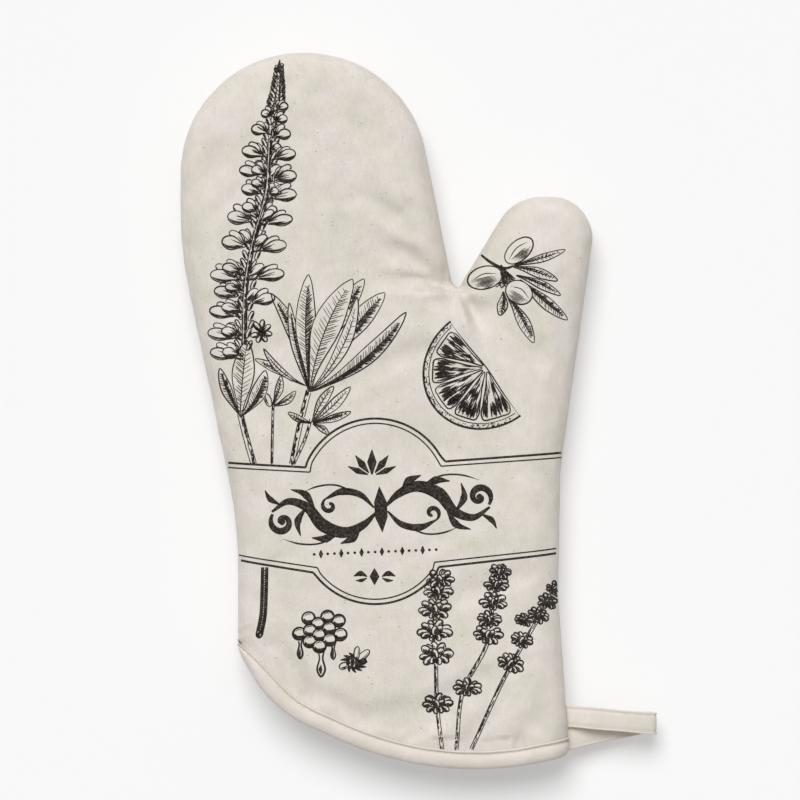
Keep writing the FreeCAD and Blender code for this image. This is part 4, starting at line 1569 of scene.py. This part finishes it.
def printing_ink():
    """Water-based ink soaked into cloth: a matt brown black, a little worn on the high threads."""
    material, tree, shader = nodes_of("print_ink")
    wear = texture(tree, "Noise", place_on(tree, "Object", (900, 900, 900)), Scale=1.0, Detail=3.0)
    finish_shader(tree, shader, ramp(tree, wear, (0.020, 0.015, 0.013), (0.11, 0.085, 0.07), 0.45, 0.80))
    return material


def paper_floor():
    """A white sweep that glows a little, so that shadows on it stay light."""
    material, tree, shader = nodes_of("floor_white")
    noise = texture(tree, "Noise", None, Scale=3.0, Detail=2.0)
    finish_shader(tree, shader, ramp(tree, noise, (0.622, 0.622, 0.622), (0.632, 0.632, 0.632)))
    shader.inputs["Emission Color"].default_value = (1.0, 1.0, 1.0, 1)
    shader.inputs["Emission Strength"].default_value = FLOOR_GLOW
    return material


# ------------------------------------------------------------------ floor, light and camera
FLOOR_GLOW = 0.257
VIEW_WIDTH = 369.2                # what the picture takes in at mid-height, mm
VIEW_CENTRE = (-8.8, 4.8)
VIEW_HEIGHT = 20.0                # where VIEW_WIDTH is true
LENS = 190.0
SENSOR = 36.0


WORLD = 0.31                      # strength of the even light from all round
LIGHTS = {                        # place in mm, angular size in degrees, strength
    "key": ((-150, 590, 1000), 34, 2.36),
    "overhead": ((0, 60, 1000), 80, 0.44),
}


def stage():
    floor = new_mesh("floor", [(-1500, -1500, 0), (1500, -1500, 0), (1500, 1500, 0), (-1500, 1500, 0)],
                     [(0, 1, 2, 3)], paper_floor())
    world = bpy.data.worlds.new("studio")
    world.use_nodes = True
    world.node_tree.nodes["Background"].inputs["Color"].default_value = (1.0, 1.0, 1.0, 1)
    world.node_tree.nodes["Background"].inputs["Strength"].default_value = WORLD
    bpy.context.scene.world = world
    for name, (place, spread, power) in LIGHTS.items():
        light = bpy.data.lights.new(name, "SUN")
        light.angle = math.radians(spread)
        light.energy = power
        lamp = bpy.data.objects.new(name, light)
        lamp.location = Vector(place) * MM
        aim = Vector((0, 0, 0)) - lamp.location
        lamp.rotation_euler = aim.to_track_quat("-Z", "Y").to_euler()
        bpy.context.scene.collection.objects.link(lamp)


def camera():
    data = bpy.data.cameras.new("camera")
    data.lens = LENS
    data.sensor_width = SENSOR
    data.clip_end = 20
    obj = bpy.data.objects.new("camera", data)
    height = VIEW_WIDTH * LENS / SENSOR + VIEW_HEIGHT
    obj.location = Vector((*VIEW_CENTRE, height)) * MM
    bpy.context.scene.collection.objects.link(obj)
    bpy.context.scene.camera = obj


# ------------------------------------------------------------------ put together
bpy.context.scene.view_settings.view_transform = "Standard"
camera()
stage()
CANVAS_LIGHT = (0.785, 0.730, 0.680)
CANVAS_DARK = (0.590, 0.543, 0.497)
material = {
    "canvas": woven("canvas", CANVAS_LIGHT, CANVAS_DARK, fleck=0.6, diagonal=0.6, bump=0.65),
    "batting": felt("wadding", (0.85, 0.83, 0.79)),
    "lining": woven("lining_sheeting", (0.80, 0.76, 0.70), (0.68, 0.64, 0.58), thread=0.4, diagonal=0.0),
    "binding": woven("bias_tape", (0.75, 0.69, 0.645), (0.65, 0.59, 0.54), thread=0.45, diagonal=0.25),
    "thread": spun_thread("sewing_thread", (0.80, 0.75, 0.68)),
    "ink": printing_ink(),
}
skin = make_skin()
cut_thumb_line(skin)
cloth_layers(skin, material)
ring, up = binding(material["binding"])
binding_stitches(ring, up, material["thread"])
hanging_loop(material["binding"], material["thread"])
seam_threads(material["thread"])
printed_front(skin, material["ink"])
remove(skin)
